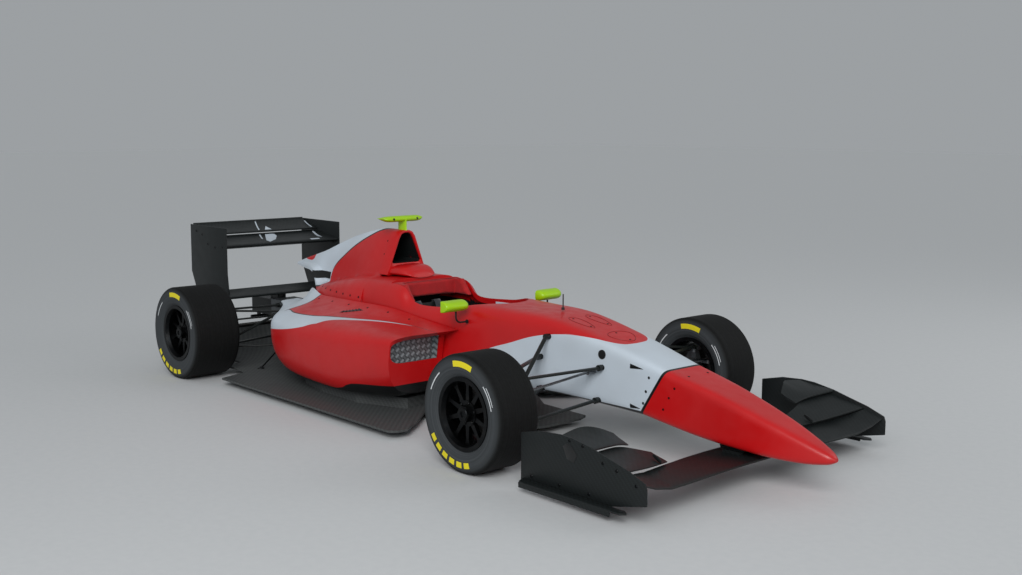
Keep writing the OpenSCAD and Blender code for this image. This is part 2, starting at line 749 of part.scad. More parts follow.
module antenna() {
    color("black") translate([antenna_x, 0, antenna_foot_z]) {
        cylinder(r = 9, h = 12, $fn = 24);
        cylinder(r = 3.5, h = 84, $fn = 24);
    }
}

// Engine, gearbox and crash structure

engine_l = 590;
engine_half = 200;
engine_top = 455;
gearbox_half = 105;
gearbox_top = 415;
gearbox_bottom = 135;
starter_z = 215;
starter_r = 12.5;
jack_x = rear - 480;
jack_z = 262;
jack_r = 11;

module engine_block() {
    color("silver") translate([-tub_back - engine_l, -engine_half, floor_z + gap])
        cube([engine_l, 2 * engine_half, engine_top - floor_z - gap]);
}

module gearbox() {
    front = -tub_back - engine_l;
    color("silver") difference() {
        union() {
            translate([gearbox_back, -gearbox_half + 12, gearbox_bottom])
                cube([front - gearbox_back, 2 * gearbox_half - 24, gearbox_top - gearbox_bottom]);
            both_sides() {
                for (p = rear_pivots) y_cylinder(p[0], p[1], gearbox_half - 30, gearbox_half, 19);
                y_cylinder(rear, rear_r, gearbox_half - 30, gearbox_half, 60);
            }
        }
        translate([gearbox_back - 1, 0, starter_z]) rotate([0, 90, 0])
            cylinder(r = starter_r, h = 61, $fn = 48);
    }
}

module crash_structure() {
    color("dimgray") {
        translate([crash_back, -crash_half, crash_bottom])
            cube([gearbox_back - crash_back, 2 * crash_half, crash_top - crash_bottom]);
        both_sides() translate([jack_x - 18, crash_half - 14, jack_z - 18])
            cube([36, 12, crash_bottom - jack_z + 24]);
        y_cylinder(jack_x, jack_z, -110, 110, jack_r);
    }
}

module rain_light() {
    color("red") translate([crash_back - 24, -36, crash_bottom + 16]) cube([24, 72, 84]);
}

// Suspension

// Inner ends of one side's front rods on the monocoque: x, z
front_pivots = [[181, 440], [-230, 440], [160, 272], [-230, 272], [-178, 552]];
// Inner ends of one side's rear rods on the gearbox: x, z
rear_pivots = [[rear + 250, 385], [rear - 110, 385], [rear + 300, 180], [rear - 110, 180], [rear + 60, 395]];
pad_h = 10;
end_h = 15;
end_r = 18;
kingpin_y = front_y - kingpin_offset;
rear_kingpin_y = rear_y - 100;

// Flat of the mounting pad at a place on the monocoque's side
function pad_y(p) = tub_y(p[0], p[1]) + pad_h;

// Pads on the monocoque for the rods, the mirrors and the antenna
module tub_pads() {
    for (p = front_pivots) y_cylinder(p[0], p[1], tub_y(p[0], p[1]) - 12, pad_y(p), 19);
    mirror_pad = pad_y([mirror_foot_x, mirror_foot_z]);
    y_cylinder(mirror_foot_x, mirror_foot_z, mirror_pad - pad_h - 12, mirror_pad, 15);
    translate([antenna_x, 0, scuttle_z - 40]) cylinder(r = 12, h = 40 + antenna_foot_z - scuttle_z, $fn = 32);
}

// A rod's inner end, flat on its pad at y
module rod_foot(p, y) {
    y_cylinder(p[0], p[1], y, y + 20, end_r - 2);
}

// A wishbone from two feet on pads to a joint at x, y; the joint's flat is on the upright's face at z
module wishbone(feet, ys, x, y, z, up) {
    translate([x, y, up ? z : z - end_h]) cylinder(r = end_r, h = end_h, $fn = 40);
    for (i = [0, 1]) {
        rod_foot(feet[i], ys[i]);
        tube([feet[i][0], ys[i] + 13, feet[i][1]], [x, y, up ? z + end_h / 2 + 1 : z - end_h / 2 - 4]);
    }
}

front_upper_z = front_r + front_joint + gap;
front_lower_z = front_r - front_joint - gap;
push_y = kingpin_y - 85;
push_z = front_lower_z + 14;

module front_wishbones() {
    ys = [for (p = front_pivots) pad_y(p)];
    color("dimgray") both_sides() {
        wishbone([front_pivots[0], front_pivots[1]], [ys[0], ys[1]], 0, kingpin_y, front_upper_z, true);
        wishbone([front_pivots[2], front_pivots[3]], [ys[2], ys[3]], 0, kingpin_y, front_lower_z, false);
        translate([-20, push_y, front_lower_z - 12])
            cylinder(r = end_r, h = push_z - front_lower_z + 12, $fn = 40);
    }
}

module front_pushrods() {
    p = front_pivots[4];
    y = pad_y(p);
    color("dimgray") both_sides() {
        rod_foot(p, y);
        translate([-20, push_y, push_z]) cylinder(r = end_r - 4, h = end_h, $fn = 40);
        tube([p[0], y + 13, p[1]], [-20, push_y, push_z + end_h - 3], 26, 16);
    }
}

rear_upper_z = rear_r + rear_joint;
rear_lower_z = rear_r - rear_joint;
rear_push_y = rear_kingpin_y - 90;
rear_push_z = rear_lower_z + 14;
toe_x = rear - 100;
toe_pivot = [rear - 190, 300];

module rear_wishbones() {
    y = [gearbox_half, gearbox_half];
    color("dimgray") both_sides() {
        wishbone([rear_pivots[0], rear_pivots[1]], y, rear, rear_kingpin_y, rear_upper_z, true);
        wishbone([rear_pivots[2], rear_pivots[3]], y, rear, rear_kingpin_y, rear_lower_z, false);
        translate([rear + 40, rear_push_y, rear_lower_z - 14])
            cylinder(r = end_r, h = rear_push_z - rear_lower_z + 14, $fn = 40);
    }
}

module rear_pushrods() {
    p = rear_pivots[4];
    color("dimgray") both_sides() {
        rod_foot(p, gearbox_half);
        translate([rear + 40, rear_push_y, rear_push_z]) cylinder(r = end_r - 4, h = end_h, $fn = 40);
        tube([p[0], gearbox_half + 13, p[1]], [rear + 40, rear_push_y, rear_push_z + end_h - 3], 26, 16);
    }
}

module toe_links() {
    color("dimgray") both_sides() {
        y_cylinder(toe_pivot[0], toe_pivot[1], gearbox_half - 12, gearbox_half + 8, end_r - 2);
        translate([toe_x, rear_kingpin_y, rear_r + 20]) cylinder(r = end_r - 4, h = end_h, $fn = 40);
        tube([toe_pivot[0], gearbox_half, toe_pivot[1]], [toe_x, rear_kingpin_y, rear_r + 20 + end_h / 2],
            22, 12);
    }
}

// An upright's post about the wheel's axis, h along the axle from the wheel's middle plane
module upright_post(h, joint) {
    rotate([90, 0, 0]) translate([0, 0, -h - 17]) linear_extrude(34)
        polygon([[-24, -joint + 16], [24, -joint + 16], [48, -40], [48, 40], [24, joint - 16],
            [-24, joint - 16],
            [-48, 40], [-48, -40]]);
    translate([0, h, -joint]) cylinder(r = end_r, h = 2 * joint, $fn = 40);
}

// A brake caliper over the disc's edge, in front of or behind the axle
module caliper(h, disc_h, x, side) {
    difference() {
        translate([x + (side > 0 ? 82 : -142), h - 17, -42]) cube([60, disc_h - h + 17 + 36, 84]);
        translate([x, disc_h - 6, 0]) rotate([-90, 0, 0]) cylinder(r = disc_d / 2 + 6, h = 30, $fn = 64);
    }
    translate([x + (side > 0 ? 40 : -90), h - 17, -32]) cube([50, 34, 64]);
}

disc_h = -28;
disc_t = 18;

// Front upright with its stub axle, steering arm and caliper
module front_upright() {
    translate([0, front_y, front_r]) {
        upright_post(-kingpin_offset, front_joint);
        y_cylinder(0, 0, -kingpin_offset, 68, axle_r);
        caliper(-kingpin_offset, disc_h, 0, -1);
        translate([0, -kingpin_offset - 14, 44]) cube([steering_arm, 28, 14]);
        translate([steering_arm, -kingpin_offset, 44]) cylinder(r = 14, h = 14, $fn = 40);
    }
}

module front_upright_left() { color("silver") front_upright(); }
module front_upright_right() { color("silver") mirror([0, 1, 0]) front_upright(); }

module rear_uprights() {
    h = rear_kingpin_y - rear_y;
    color("silver") both_sides() translate([rear, rear_y, rear_r]) difference() {
        union() {
            upright_post(h, rear_joint);
            caliper(h, disc_h - 20, 0, 1);
            translate([toe_x - rear - 14, h - 14, 6]) cube([rear - toe_x + 14, 28, 14]);
        }
        y_cylinder(0, 0, h - 40, h + 40, axle_r + gap);
    }
}

// Steering

rack_x = 130;
rack_z = 415;
rack_r = 14;
rack_half = 228;
wheel_x = -820;
wheel_z = 555;
column_tilt = 12;
column_r = 12;

// Places its children on the steering column, Z towards the driver
module on_column() {
    translate([wheel_x, 0, wheel_z]) rotate([0, column_tilt - 90, 0]) children();
}

module steering_column(extra) {
    on_column() translate([0, 0, -230]) cylinder(r = column_r + extra, h = 230, $fn = 40);
}

module steering_rack() {
    end_z = front_r + 58 + gap;
    color("silver") {
        y_cylinder(rack_x, rack_z, -rack_half, rack_half, rack_r);
        both_sides() {
            translate([steering_arm, kingpin_y, end_z]) cylinder(r = 14, h = end_h, $fn = 40);
            tube([rack_x, rack_half - 6, rack_z], [steering_arm, kingpin_y, end_z + end_h / 2 + 1], 22, 12);
        }
    }
}

module steering_wheel() {
    grip = steering_wheel_d / 2 - 12;
    color("black") {
        steering_column(0);
        on_column() {
            translate([0, 0, -12]) linear_extrude(24)
                polygon([[-52, -84], [-30, -grip], [30, -grip], [58, -84], [58, 84], [30, grip],
                    [-30, grip], [-52, 84]]);
            for (a = [55, 235]) rotate([0, 0, a]) rotate_extrude(angle = 70, $fn = 64)
                translate([grip, 0]) circle(r = 12, $fn = 24);
        }
    }
}

// Wheels, drawn about Y with the outside towards +Y

// Turns children drawn about Z to lie about Y
module about_y() {
    rotate([-90, 0, 0]) children();
}

module tyre(d, w) {
    r = d / 2;
    bead = w / 2 - 22;
    seat_r = rim_r + gap;
    shoulder = 26;
    carcass = 13;
    flank = r - shoulder;
    about_y() rotate_extrude($fn = 96) polygon(concat(
        [[seat_r, -bead]],
        [[rim_r + 16, -bead], [rim_r + 32, -w / 2 + 10], [flank - 42, -w / 2]],
        [for (a = [-90 : 18 : 0]) [flank + shoulder * cos(a), -w / 2 + shoulder + 2 + shoulder * sin(a)]],
        [for (a = [0 : 18 : 90]) [flank + shoulder * cos(a), w / 2 - shoulder - 2 + shoulder * sin(a)]],
        [[flank - 42, w / 2], [rim_r + 32, w / 2 - 10], [rim_r + 16, bead]],
        [[seat_r, bead], [seat_r, bead - 26], [flank, w / 2 - 3 * carcass],
            [r - carcass, w / 2 - 5 * carcass], [r - carcass, -w / 2 + 5 * carcass],
            [flank, -w / 2 + 3 * carcass], [seat_r, -bead + 26]]));
}

// Rim with its spokes and centre nut; face is the place of the spokes along the axle
module rim(w, face, mount) {
    lip = w / 2 - 22 - gap;
    wall = 7;
    hub_r = 62;
    about_y() {
        rotate_extrude($fn = 96) polygon([
            [rim_r - wall, -lip - 8], [rim_r + 14, -lip - 8], [rim_r + 14, -lip - 1], [rim_r, -lip - 1],
            [rim_r, -lip + 34], [rim_r - 9, -lip + 48], [rim_r - 9, lip - 48], [rim_r, lip - 34],
            [rim_r, lip + 1], [rim_r + 14, lip + 1], [rim_r + 14, lip + 8], [rim_r - wall, lip + 8],
            [rim_r - wall - 9, lip - 14], [rim_r - wall - 9, -lip + 40]]);
        difference() {
            union() {
                translate([0, 0, mount]) cylinder(r = hub_r, h = face - mount, $fn = 64);
                translate([0, 0, face - 26]) for (i = [0 : spokes - 1])
                    rotate([0, 0, 360 * (i + 0.5) / spokes])
                    linear_extrude(22) polygon([[hub_r - 6, -13], [rim_r - wall - 30, -9],
                        [rim_r - wall - 4, -20],
                        [rim_r - wall - 4, 20], [rim_r - wall - 30, 9], [hub_r - 6, 13]]);
                translate([0, 0, face - 4]) cylinder(r = 42, h = 28, $fn = 6);
            }
            translate([0, 0, mount - 1]) cylinder(r = axle_r + gap, h = face - mount - 5, $fn = 64);
        }
    }
}

front_face = 82;
rear_face = 100;
mount_h = 40;

// Brake disc and the bell that carries the rim
module hub(disc_at, mount) {
    about_y() difference() {
        union() {
            translate([0, 0, disc_at]) cylinder(r = disc_d / 2, h = disc_t, $fn = 96);
            translate([0, 0, disc_at]) cylinder(r = axle_r + 16, h = mount - disc_at, $fn = 64);
        }
        translate([0, 0, disc_at - 1]) cylinder(r = axle_r + gap, h = mount - disc_at + 2, $fn = 64);
    }
}

// The rear hub's axle through the upright, with the drive shaft to the gearbox
module rear_shaft() {
    upright_h = rear_kingpin_y - rear_y;
    joint_h = upright_h - 17 - 8;
    inner_h = gearbox_half + gap - rear_y;
    about_y() {
        translate([0, 0, joint_h]) cylinder(r = axle_r, h = rear_face - 14 - joint_h, $fn = 64);
        translate([0, 0, joint_h - 60]) cylinder(r = 42, h = 60, $fn = 64);
        translate([0, 0, inner_h]) cylinder(r = 14, h = joint_h - inner_h, $fn = 40);
        translate([0, 0, inner_h]) cylinder(r = 46, h = 64, $fn = 64);
    }
}

module rear_hub() {
    about_y() {
        translate([0, 0, disc_h - 20]) cylinder(r = disc_d / 2, h = disc_t, $fn = 96);
        translate([0, 0, disc_h - 20]) cylinder(r = axle_r + 16, h = mount_h - disc_h + 20, $fn = 64);
    }
    rear_shaft();
}

module at_front_left() { translate([0, front_y, front_r]) children(); }
module at_rear_left() { translate([rear, rear_y, rear_r]) children(); }

module tyre_front_left() { color("black") at_front_left() tyre(front_tyre_d, front_tyre_w); }
module tyre_front_right() { color("black") mirror([0, 1, 0]) at_front_left()
    tyre(front_tyre_d, front_tyre_w); }
module tyre_rear_left() { color("black") at_rear_left() tyre(rear_tyre_d, rear_tyre_w); }
module tyre_rear_right() { color("black") mirror([0, 1, 0]) at_rear_left() tyre(rear_tyre_d, rear_tyre_w); }
module rim_front_left() { color("dimgray") at_front_left() rim(front_tyre_w, front_face, mount_h); }
module rim_front_right() { color("dimgray") mirror([0, 1, 0]) at_front_left()
    rim(front_tyre_w, front_face, mount_h); }
module rim_rear_left() { color("dimgray") at_rear_left() rim(rear_tyre_w, rear_face, mount_h); }
module rim_rear_right() { color("dimgray") mirror([0, 1, 0]) at_rear_left()
    rim(rear_tyre_w, rear_face, mount_h); }
module hub_front_left() { color("silver") at_front_left() hub(disc_h, mount_h); }
module hub_front_right() { color("silver") mirror([0, 1, 0]) at_front_left() hub(disc_h, mount_h); }
module hub_rear_left() { color("silver") at_rear_left() rear_hub(); }
module hub_rear_right() { color("silver") mirror([0, 1, 0]) at_rear_left() rear_hub(); }

// The whole car, from the middle of its length
module placed() {
    translate([front_axle, 0, 0]) children();
}

placed() monocoque();
placed() nose_cone();
placed() roll_hoop();
placed() engine_cover();
placed() sidepod_left();
placed() sidepod_right();
placed() floor();
placed() skid_plank();
placed() diffuser();
placed() front_wing_plane();
placed() front_wing_flaps();
placed() front_wing_plates();
placed() rear_wing_planes();
placed() rear_wing_plates();
placed() beam_wing();
placed() camera_pod();
placed() headrest();
placed() seat();
placed() mirror_housings();
placed() mirror_glasses();
placed() mirror_stalks();
placed() antenna();
placed() engine_block();
placed() gearbox();
placed() crash_structure();
placed() rain_light();
placed() front_wishbones();
placed() front_pushrods();
placed() rear_wishbones();
placed() rear_pushrods();
placed() toe_links();
placed() rear_uprights();
placed() front_upright_left();
placed() front_upright_right();
placed() steering_rack();
placed() steering_wheel();
placed() tyre_front_left();
placed() tyre_front_right();
placed() tyre_rear_left();
placed() tyre_rear_right();
placed() rim_front_left();
placed() rim_front_right();
placed() rim_rear_left();
placed() rim_rear_right();
placed() hub_front_left();
placed() hub_front_right();
placed() hub_rear_left();
placed() hub_rear_right();
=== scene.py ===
"""Looks of an open wheel single seat racing car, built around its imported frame.

Sizes are in millimetres from the front axle, as the car is drawn: X forward, Y to its left and Z up.
They become metres in the row's frame when a mesh is made.
"""

import json
import logging
from dataclasses import dataclass
from enum import Enum
from math import cos, pi, radians, sin, sqrt
from typing import Any, Iterable, Optional, Sequence

import bmesh
import bpy
import numpy as np
from mathutils import Matrix, Vector
from mathutils.bvhtree import BVHTree

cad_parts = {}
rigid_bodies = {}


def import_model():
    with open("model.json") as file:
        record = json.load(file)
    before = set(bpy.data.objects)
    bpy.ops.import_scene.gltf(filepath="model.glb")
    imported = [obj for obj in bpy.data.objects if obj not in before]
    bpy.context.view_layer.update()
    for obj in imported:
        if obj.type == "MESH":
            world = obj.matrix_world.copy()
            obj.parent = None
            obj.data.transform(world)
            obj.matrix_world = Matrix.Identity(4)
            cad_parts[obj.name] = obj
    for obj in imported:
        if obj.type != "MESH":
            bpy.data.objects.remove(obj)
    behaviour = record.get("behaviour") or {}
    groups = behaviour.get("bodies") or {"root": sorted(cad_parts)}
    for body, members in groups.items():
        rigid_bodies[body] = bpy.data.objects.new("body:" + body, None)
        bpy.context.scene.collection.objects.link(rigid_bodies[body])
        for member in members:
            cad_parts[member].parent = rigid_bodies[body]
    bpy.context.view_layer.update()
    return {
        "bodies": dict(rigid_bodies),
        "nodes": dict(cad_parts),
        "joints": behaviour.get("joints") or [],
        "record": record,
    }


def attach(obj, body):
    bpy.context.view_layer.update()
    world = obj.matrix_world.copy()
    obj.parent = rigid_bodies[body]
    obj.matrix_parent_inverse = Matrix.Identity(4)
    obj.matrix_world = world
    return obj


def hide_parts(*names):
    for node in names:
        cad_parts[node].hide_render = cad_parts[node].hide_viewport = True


LOG = logging.getLogger("racing_car")

MM = 0.001
# The front axle in the row's frame, which is the drawing's origin, and the rear axle from there.
FRONT_AXLE = 1067.5
ORIGIN = Vector((FRONT_AXLE, 0, 0))
REAR_AXLE = -2880.0
FRONT_TYRE = 575.0
# The left and the right of the car.
HANDS = (1, -1)
UP = (0, 0, 1)
DOWN = (0, 0, -1)
# Where lines to a panel start: over the car, over its wing, beside the tub and beside the engine cover.
OVER_CAR = 900.0
OVER_WING = 1000.0
BESIDE_TUB = 400.0
BESIDE_COVER = 500.0
# The joint between tub and nose leans forward at its top: millimetres for each one up, its middle and its ends.
JOINT_RAKE = 0.588
JOINT_MIDDLE = 355.0
JOINT_ENDS = (150.0, 560.0)
# A line across the car runs this far up and down within its width.
LINE_REACH = 4000.0
LINE_WIDTH = 2.0
# Noise seldom leaves these values.
NOISE_LOW, NOISE_HIGH = 0.35, 0.7
# An aerofoil's points lie closer at its nose; its fullness, and its tail's half thickness over the chord.
WING_SPACING = 1.6
WING_FULLNESS = 2.6
WING_TAIL = 0.006
# A socket head screw, as rows of radius and height.
SCREW_HEAD = ((0.1, 1.2), (3.0, 1.2), (3.4, 2.6), (6.6, 2.6), (8.0, 0.8), (8.0, -1.0))

Point = Sequence[float]
Pair = tuple[float, float]
Triple = tuple[float, float, float]
Quad = tuple[float, float, float, float]
Line = tuple[Pair, ...]
Points = Sequence[Point]
Table = tuple[Point, ...]
Face = tuple[int, ...]
Array = np.ndarray
Frame = dict[str, Any]
Inputs = dict[Any, Any]
Object = bpy.types.Object
Socket = bpy.types.NodeSocket
Tree = bpy.types.NodeTree


def linear(colour: str) -> Quad:
    """Turns an sRGB hex colour to linear RGBA.

    Args:
        colour: Six hex digits after a hash sign.

    Returns:
        The colour's linear red, green, blue and an alpha of 1.
    """
    parts = [int(colour[i : i + 2], 16) / 255 for i in (1, 3, 5)]
    red, green, blue = (p / 12.92 if p <= 0.04045 else ((p + 0.055) / 1.055) ** 2.4 for p in parts)
    return red, green, blue, 1.0


def per_mm(size: float) -> float:
    """Returns the scale of a pattern whose period is a size in millimetres."""
    return 1 / (size * MM)


def add(tree: Tree, kind: str, inputs: Optional[Inputs] = None, out: Any = 0,
        **settings: Any) -> Optional[Socket]:
    """Adds a node with its settings and links.

    Args:
        tree: The node tree.
        kind: The node's type name, without its common beginning.
        inputs: A value or a socket to link for each input, by its name or number.
        out: The output that is wanted, by its name or number.
        **settings: The node's own properties.

    Returns:
        The wanted output, or nothing where the node ends the tree.
    """
    made = tree.nodes.new("ShaderNode" + kind)
    for key, value in settings.items():
        setattr(made, key, value)
    for key, value in (inputs or {}).items():
        if isinstance(value, Socket):
            tree.links.new(value, made.inputs[key])
        else:
            made.inputs[key].default_value = value
    return made.outputs[out] if made.outputs else None


class Axis(Enum):
    """A direction that a colour field's edge is measured along."""

    X = "x"
    Z = "z"
    OUT = "out"


@dataclass(frozen=True)
class Edge:
    """A curved edge of a colour field: a line of heights along another direction, in millimetres."""

    along: Axis
    height: Axis
    points: Line
    below: bool = True
    softness: float = 0.8

    def metres(self, axis: Axis, value: float) -> float:
        """Turns a drawn size to the row's frame in metres."""
        return (value + (FRONT_AXLE if axis is Axis.X else 0.0)) * MM

    def mask(self, tree: Tree, axes: dict[Axis, Socket]) -> Socket:
        """Builds the edge's mask.

        Args:
            tree: The material's node tree.
            axes: A socket with the place along each axis.

        Returns:
            A value that is 1 on the kept side of the edge and 0 on the other.
        """
        line = sorted((self.metres(self.along, a), self.metres(self.height, h)) for a, h in self.points)
        low, high = min(h for _, h in line), max(h for _, h in line)
        start, end = line[0][0], line[-1][0]
        share = add(tree, "MapRange", {0: axes[self.along], 1: start, 2: end, 3: 0.0, 4: 1.0})
        curve = add(tree, "FloatCurve", {1: share}).node
        knots = curve.mapping.curves[0].points
        scaled = [((a - start) / (end - start), (h - low) / max(high - low, 1e-9)) for a, h in line]
        knots[0].location, knots[-1].location = scaled[0], scaled[-1]
        for spot in scaled[1:-1]:
            knots.new(*spot)
        for knot in knots:
            knot.handle_type = "AUTO_CLAMPED"
        curve.mapping.update()
        rise = {0: curve.outputs[0], 1: 0.0, 2: 1.0, 3: low, 4: max(high, low + 1e-6)}
        height = add(tree, "MapRange", rise)
        sides = (height, axes[self.height]) if self.below else (axes[self.height], height)
        gap = add(tree, "Math", dict(enumerate(sides)), operation="SUBTRACT")
        half = self.softness * MM
        return add(tree, "MapRange", {0: gap, 1: -half, 2: half, 3: 0.0, 4: 1.0})


@dataclass(frozen=True)
class ColourField:
    """A field of another colour on a painted panel, kept inside all its edges."""

    colour: str
    edges: tuple[Edge, ...]

    def over(self, tree: Tree, axes: dict[Axis, Socket], colour: Any) -> Socket:
        """Lays the field over a colour.

        Args:
            tree: The material's node tree.
            axes: A socket with the place along each axis.
            colour: The colour below, a value or a socket.

        Returns:
            The colour with the field on it.
        """
        masks = [edge.mask(tree, axes) for edge in self.edges]
        mask = masks[0]
        for other in masks[1:]:
            mask = add(tree, "Math", {0: mask, 1: other}, operation="MULTIPLY")
        return add(tree, "Mix", {0: mask, 6: colour, 7: linear(self.colour)}, 2, data_type="RGBA")


@dataclass(frozen=True)
class Finish:
    """A surface finish with the name of the real material."""

    name: str

    def material(self) -> bpy.types.Material:
        """Returns the finish's material, which is made at its first use."""
        made = bpy.data.materials.get(self.name)
        if made is None:
            made = bpy.data.materials.new(self.name)
            made.use_nodes = True
            tree = made.node_tree
            tree.nodes.clear()
            place = add(tree, "TexCoord", out="Object")
            shader = add(tree, "BsdfPrincipled", self.surface(tree, place))
            add(tree, "OutputMaterial", {"Surface": shader})
        return made

    def surface(self, tree: Tree, place: Socket) -> Inputs:
        """Returns a value or a socket for each input of the surface shader, from the place in metres."""
        raise NotImplementedError

    def patches(self, tree: Tree, place: Socket, size: float, values: Pair, detail: float = 3.0) -> Socket:
        """Returns soft patches of a size in millimetres, between two values, with finer detail mixed in."""
        noise = add(tree, "TexNoise", {"Vector": place, "Scale": per_mm(size), "Detail": detail})
        return add(tree, "MapRange", {0: noise, 1: NOISE_LOW, 2: NOISE_HIGH, 3: values[0], 4: values[1]})


@dataclass(frozen=True)
class Paint(Finish):
    """Sprayed two-pack paint under clear lacquer: a deep gloss with a faint orange peel."""

    colour: str
    fields: tuple[ColourField, ...] = ()
    roughness: float = 0.38
    coat: float = 0.1

    def surface(self, tree: Tree, place: Socket) -> Inputs:
        """Builds the base colour, the fields over it, road dust, the peel and the wear of the gloss."""
        x, y, z = add(tree, "SeparateXYZ", {0: place}).node.outputs
        axes = {Axis.X: x, Axis.Z: z, Axis.OUT: add(tree, "Math", {0: y}, operation="ABSOLUTE")}
        colour = linear(self.colour)
        for spot in self.fields:
            colour = spot.over(tree, axes, colour)
        # Broad clouds of dust take a little of the colour, as they do on a car that has been driven.
        dust = self.patches(tree, place, 300.0, (0.0, 0.3), 2.0)
        tint = {0: dust, 6: colour, 7: linear("#D9D3CE")}
        colour = add(tree, "Mix", tint, 2, data_type="RGBA", blend_type="MULTIPLY")
        rough = self.patches(tree, place, 60.0, (self.roughness - 0.05, self.roughness + 0.08))
        # Real orange peel is about 3 mm from dimple to dimple.
        peel = self.patches(tree, place, 3.0, (0.0, 1.0), 1.0)
        normal = add(tree, "Bump", {"Height": peel, "Distance": 0.03 * MM, "Strength": 0.3})
        return {
            "Base Color": colour, "Roughness": rough, "Normal": normal, "IOR": 1.5, "Coat Weight": self.coat,
            "Coat Roughness": 0.08,
        }


@dataclass(frozen=True)
class Carbon(Finish):
    """Twill carbon cloth in satin resin: tows that catch the light in turn, in diagonal steps."""

    dark: str = "#0C0F0F"
    light: str = "#1B2122"
    tow_mm: float = 7.0
    roughness: float = 0.5
    repeat: float = 4.0
    ways: tuple[Triple, ...] = ((1.0, 0.0, 0.0), (0.0, 1.0, 1.0))

    def surface(self, tree: Tree, place: Socket) -> Inputs:
        """Builds the weave; its tows are drawn about three times their width so that they show."""
        runs = []
        for way in self.ways:
            pitched = tuple(per_mm(self.tow_mm) * v for v in way)
            runs.append(add(tree, "VectorMath", {0: place, 1: pitched}, "Value", operation="DOT_PRODUCT"))
        steps = [add(tree, "Math", {0: run}, operation="FLOOR") for run in runs]
        cells = add(tree, "Math", {0: steps[0], 1: steps[1]}, operation="ADD")
        turn = add(tree, "Math", {0: cells, 1: self.repeat}, operation="FLOORED_MODULO")
        over = add(tree, "Math", {0: turn, 1: self.repeat / 2}, operation="LESS_THAN")
        crowns = []
        for run in runs:
            middle = add(tree, "Math", {0: run, 1: 0.5}, operation="PINGPONG")
            crowns.append(add(tree, "MapRange", {0: middle, 1: 0.0, 2: 0.5, 3: 0.25, 4: 1.0}))
        tows = add(tree, "Mix", {0: over, 2: crowns[0], 3: crowns[1]})
        lit = add(tree, "MapRange", {0: over, 1: 0.0, 2: 1.0, 3: 0.4, 4: 0.95})
        shine = add(tree, "Math", {0: tows, 1: lit}, operation="MULTIPLY")
        weave = {0: shine, 6: linear(self.dark), 7: linear(self.light)}
        colour = add(tree, "Mix", weave, 2, data_type="RGBA")
        rough = self.patches(tree, place, 60.0, (self.roughness - 0.02, self.roughness + 0.03))
        normal = add(tree, "Bump", {"Height": tows, "Distance": 0.08 * MM, "Strength": 0.4})
        return {"Base Color": colour, "Roughness": rough, "Normal": normal, "IOR": 1.5, "Specular IOR Level": 0.35}


@dataclass(frozen=True)
class Rubber(Finish):
    """Slick racing rubber: dull black, scrubbed in rings round the tread and paler on the sidewalls."""

    centre: Triple = (0.0, 0.0, 0.0)
    diameter: float = FRONT_TYRE
    colour: str = "#050606"
    worn: str = "#45494C"
    shoulder: Pair = (0.445, 0.49)

    def surface(self, tree: Tree, place: Socket) -> Inputs:
        """Builds rings about the axle, crumbs of rubber and a fine pebble."""
        middle = tuple((v + o) * MM for v, o in zip(self.centre, (FRONT_AXLE, 0.0, 0.0)))
        own = add(tree, "VectorMath", {0: place, 1: middle}, operation="SUBTRACT")
        x, y, z = add(tree, "SeparateXYZ", {0: own}).node.outputs
        flat = add(tree, "CombineXYZ", {0: x, 2: z})
        radius = add(tree, "VectorMath", {0: flat}, "Value", operation="LENGTH")
        ring_place = add(tree, "CombineXYZ", {0: radius, 1: y})
        rings = self.patches(tree, ring_place, 6.0, (0.0, 1.0))
        low, high = (self.diameter * share * MM for share in self.shoulder)
        wall = add(tree, "MapRange", {0: radius, 1: low, 2: high, 3: 1.0, 4: 0.0})
        depth = add(tree, "MapRange", {0: rings, 1: 0.0, 2: 1.0, 3: 0.55, 4: 1.0})
        scrub = add(tree, "Math", {0: depth, 1: wall}, operation="MULTIPLY")
        colour = add(tree, "Mix", {0: scrub, 6: linear(self.colour), 7: linear(self.worn)}, 2, data_type="RGBA")
        crumbs = self.patches(tree, place, 14.0, (0.0, 0.12), 5.0)
        colour = add(tree, "Mix", {0: crumbs, 6: colour, 7: linear("#2A2C2D")}, 2, data_type="RGBA")
        rough = add(tree, "MapRange", {0: rings, 1: 0.0, 2: 1.0, 3: 0.72, 4: 0.9})
        pebble = add(tree, "Math", {0: rings, 1: self.patches(tree, place, 2.0, (0.0, 0.6))}, operation="ADD")
        normal = add(tree, "Bump", {"Height": pebble, "Distance": 0.2 * MM, "Strength": 0.4})
        return {"Base Color": colour, "Roughness": rough, "Normal": normal, "IOR": 1.52, "Specular IOR Level": 0.25}


